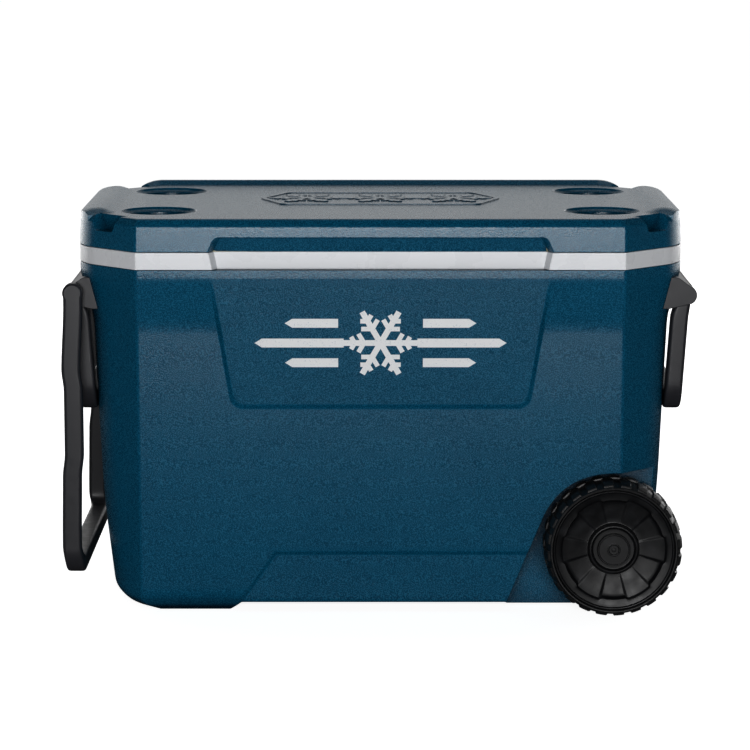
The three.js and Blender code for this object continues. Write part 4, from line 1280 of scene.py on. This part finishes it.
for place, x in HINGE_XS.items():
    show(f"hinge_{place}_body_leaf", hinge_leaf(x, False, BODY_LEAF_SCREWS), "satin_black")
    show(f"hinge_{place}_lid_leaf", hinge_leaf(x, True, LID_LEAF_SCREWS), "satin_black")
    show(f"hinge_{place}_pin", hinge_pin(x), "steel")
for i, (body_screw, lid_screw) in enumerate(zip(BODY_LEAF_SCREWS, LID_LEAF_SCREWS), start=1):
    show(f"body_leaf_screw_{i}", screw(*body_screw), "steel")
    show(f"lid_leaf_screw_{i}", screw(*lid_screw), "steel")

PLACES = (("back", AS_DRAWN), ("front", FRONT_BACK))
for end, side in (("right", 1), ("left", -1)):
    show(f"bracket_{end}", bracket(side), "satin_black")
    show(f"lift_handle_{end}", lift_handle(side), "satin_black")
    for i, placed in enumerate(bracket_screws(side), start=1):
        show(f"bracket_{end}_screw_{i}", screw(*placed), "steel")
    for where, turn in PLACES:
        show(f"lift_pin_{end}_{where}", moved(lift_pin(side), turn), "steel")

show("tow_handle", tow_handle(), "satin_black")
show("axle", axle(), "steel")
for where, turn in PLACES:
    show(f"wheel_{where}_tyre", moved(tyre(), turn), "tread_black")
    show(f"wheel_{where}_disc", moved(wheel_disc(), turn), "satin_black", look="wheel_black")
    show(f"wheel_{where}_cap", moved(hub_cap(), turn), "satin_black", look="wheel_black")
    show(f"axle_{where}_nut", moved(axle_nut(), turn), "steel")
    show(f"axle_{where}_washer", moved(washer(), turn), "steel")
    show(f"tow_pin_{where}", moved(tow_pin(), turn), "steel")


# ---------------- stage, lights and camera
SENSOR_MM, LENS_MM = 36, 143.136
EYE_AT, EYE_TILT = (-0.004, -3.400, 0.7905), radians(80.76)
DIM_WORLD, WHITE_WORLD = 0.015, 1.0


def floor():
    """A wide pale floor that gets lighter away from the object, so that no edge shows."""
    n = Nodes("pale_floor")
    distance = n.add("ShaderNodeVectorMath", Vector=n.place)
    distance.operation = "LENGTH"
    glow = n.span(distance.outputs["Value"], 0.3, 1.2, 0.86, 1.0)
    seen = n.tree.nodes.new("ShaderNodeLightPath").outputs["Is Camera Ray"]
    n.put(n.shader.inputs["Emission Color"], rgb(1, 1, 1))
    n.put(n.shader.inputs["Emission Strength"], n.maths("MULTIPLY", glow, n.span(seen, 0, 1, 0.07, 1)))
    mesh = bpy.data.meshes.new("floor")
    half = 60
    corners = [(-half, -half, 0), (half, -half, 0), (half, half, 0), (-half, half, 0)]
    mesh.from_pydata(corners, [], [(0, 1, 2, 3)])
    mesh.materials.append(n.finish(rgb(0.85, 0.85, 0.85), n.uneven(3, 2, 0.75, 0.85)))
    plane = linked("floor", mesh)
    plane.visible_glossy = False


def softbox(name, centre, target, width, height, power):
    light = bpy.data.lights.new(name, "AREA")
    light.shape = "RECTANGLE"
    light.size, light.size_y, light.energy = width, height, power
    lamp = linked(name, light)
    lamp.location = centre
    lamp.rotation_euler = (Vector(target) - Vector(centre)).to_track_quat("-Z", "Y").to_euler()
    lamp.visible_camera = False


def studio():
    """White surroundings for the camera, dim ones for the object, and five softboxes."""
    softbox("front_softbox", (0, -3.6, 0.73), (0, 0, 0.73), 2.0, 0.86, 80)
    softbox("back_softbox", (0, 2.4, 1.1), (0, 0, 0.6), 5.0, 2.0, 27)
    softbox("top_softbox", (0, 0.9, 2.6), (0, 0, 0), 2.6, 1.4, 12)
    for side in (-1, 1):
        softbox(f"side_softbox_{side}", (side * 2.6, 2.6, 0.4), (0, 0.2, 0.3), 3.0, 1.0, 24)
    world = bpy.data.worlds.new("studio")
    bpy.context.scene.world = world
    world.use_nodes = True
    tree = world.node_tree
    background = tree.nodes["Background"]
    ray = tree.nodes.new("ShaderNodeLightPath")
    strength = tree.nodes.new("ShaderNodeMapRange")
    strength.inputs["To Min"].default_value = DIM_WORLD
    strength.inputs["To Max"].default_value = WHITE_WORLD
    background.inputs["Color"].default_value = (1, 1, 1, 1)
    tree.links.new(ray.outputs["Is Camera Ray"], strength.inputs["Value"])
    tree.links.new(strength.outputs["Result"], background.inputs["Strength"])


def camera():
    """The photo's view: from the front, a little above the lid, tipped slightly down."""
    data = bpy.data.cameras.new("camera")
    data.sensor_width, data.lens = SENSOR_MM, LENS_MM
    eye = linked("camera", data)
    eye.location = EYE_AT
    eye.rotation_euler = (EYE_TILT, 0, 0)
    bpy.context.scene.camera = eye


floor()
studio()
camera()
bpy.context.scene.view_settings.view_transform = "Standard"
bpy.context.scene.view_settings.gamma = 0.8
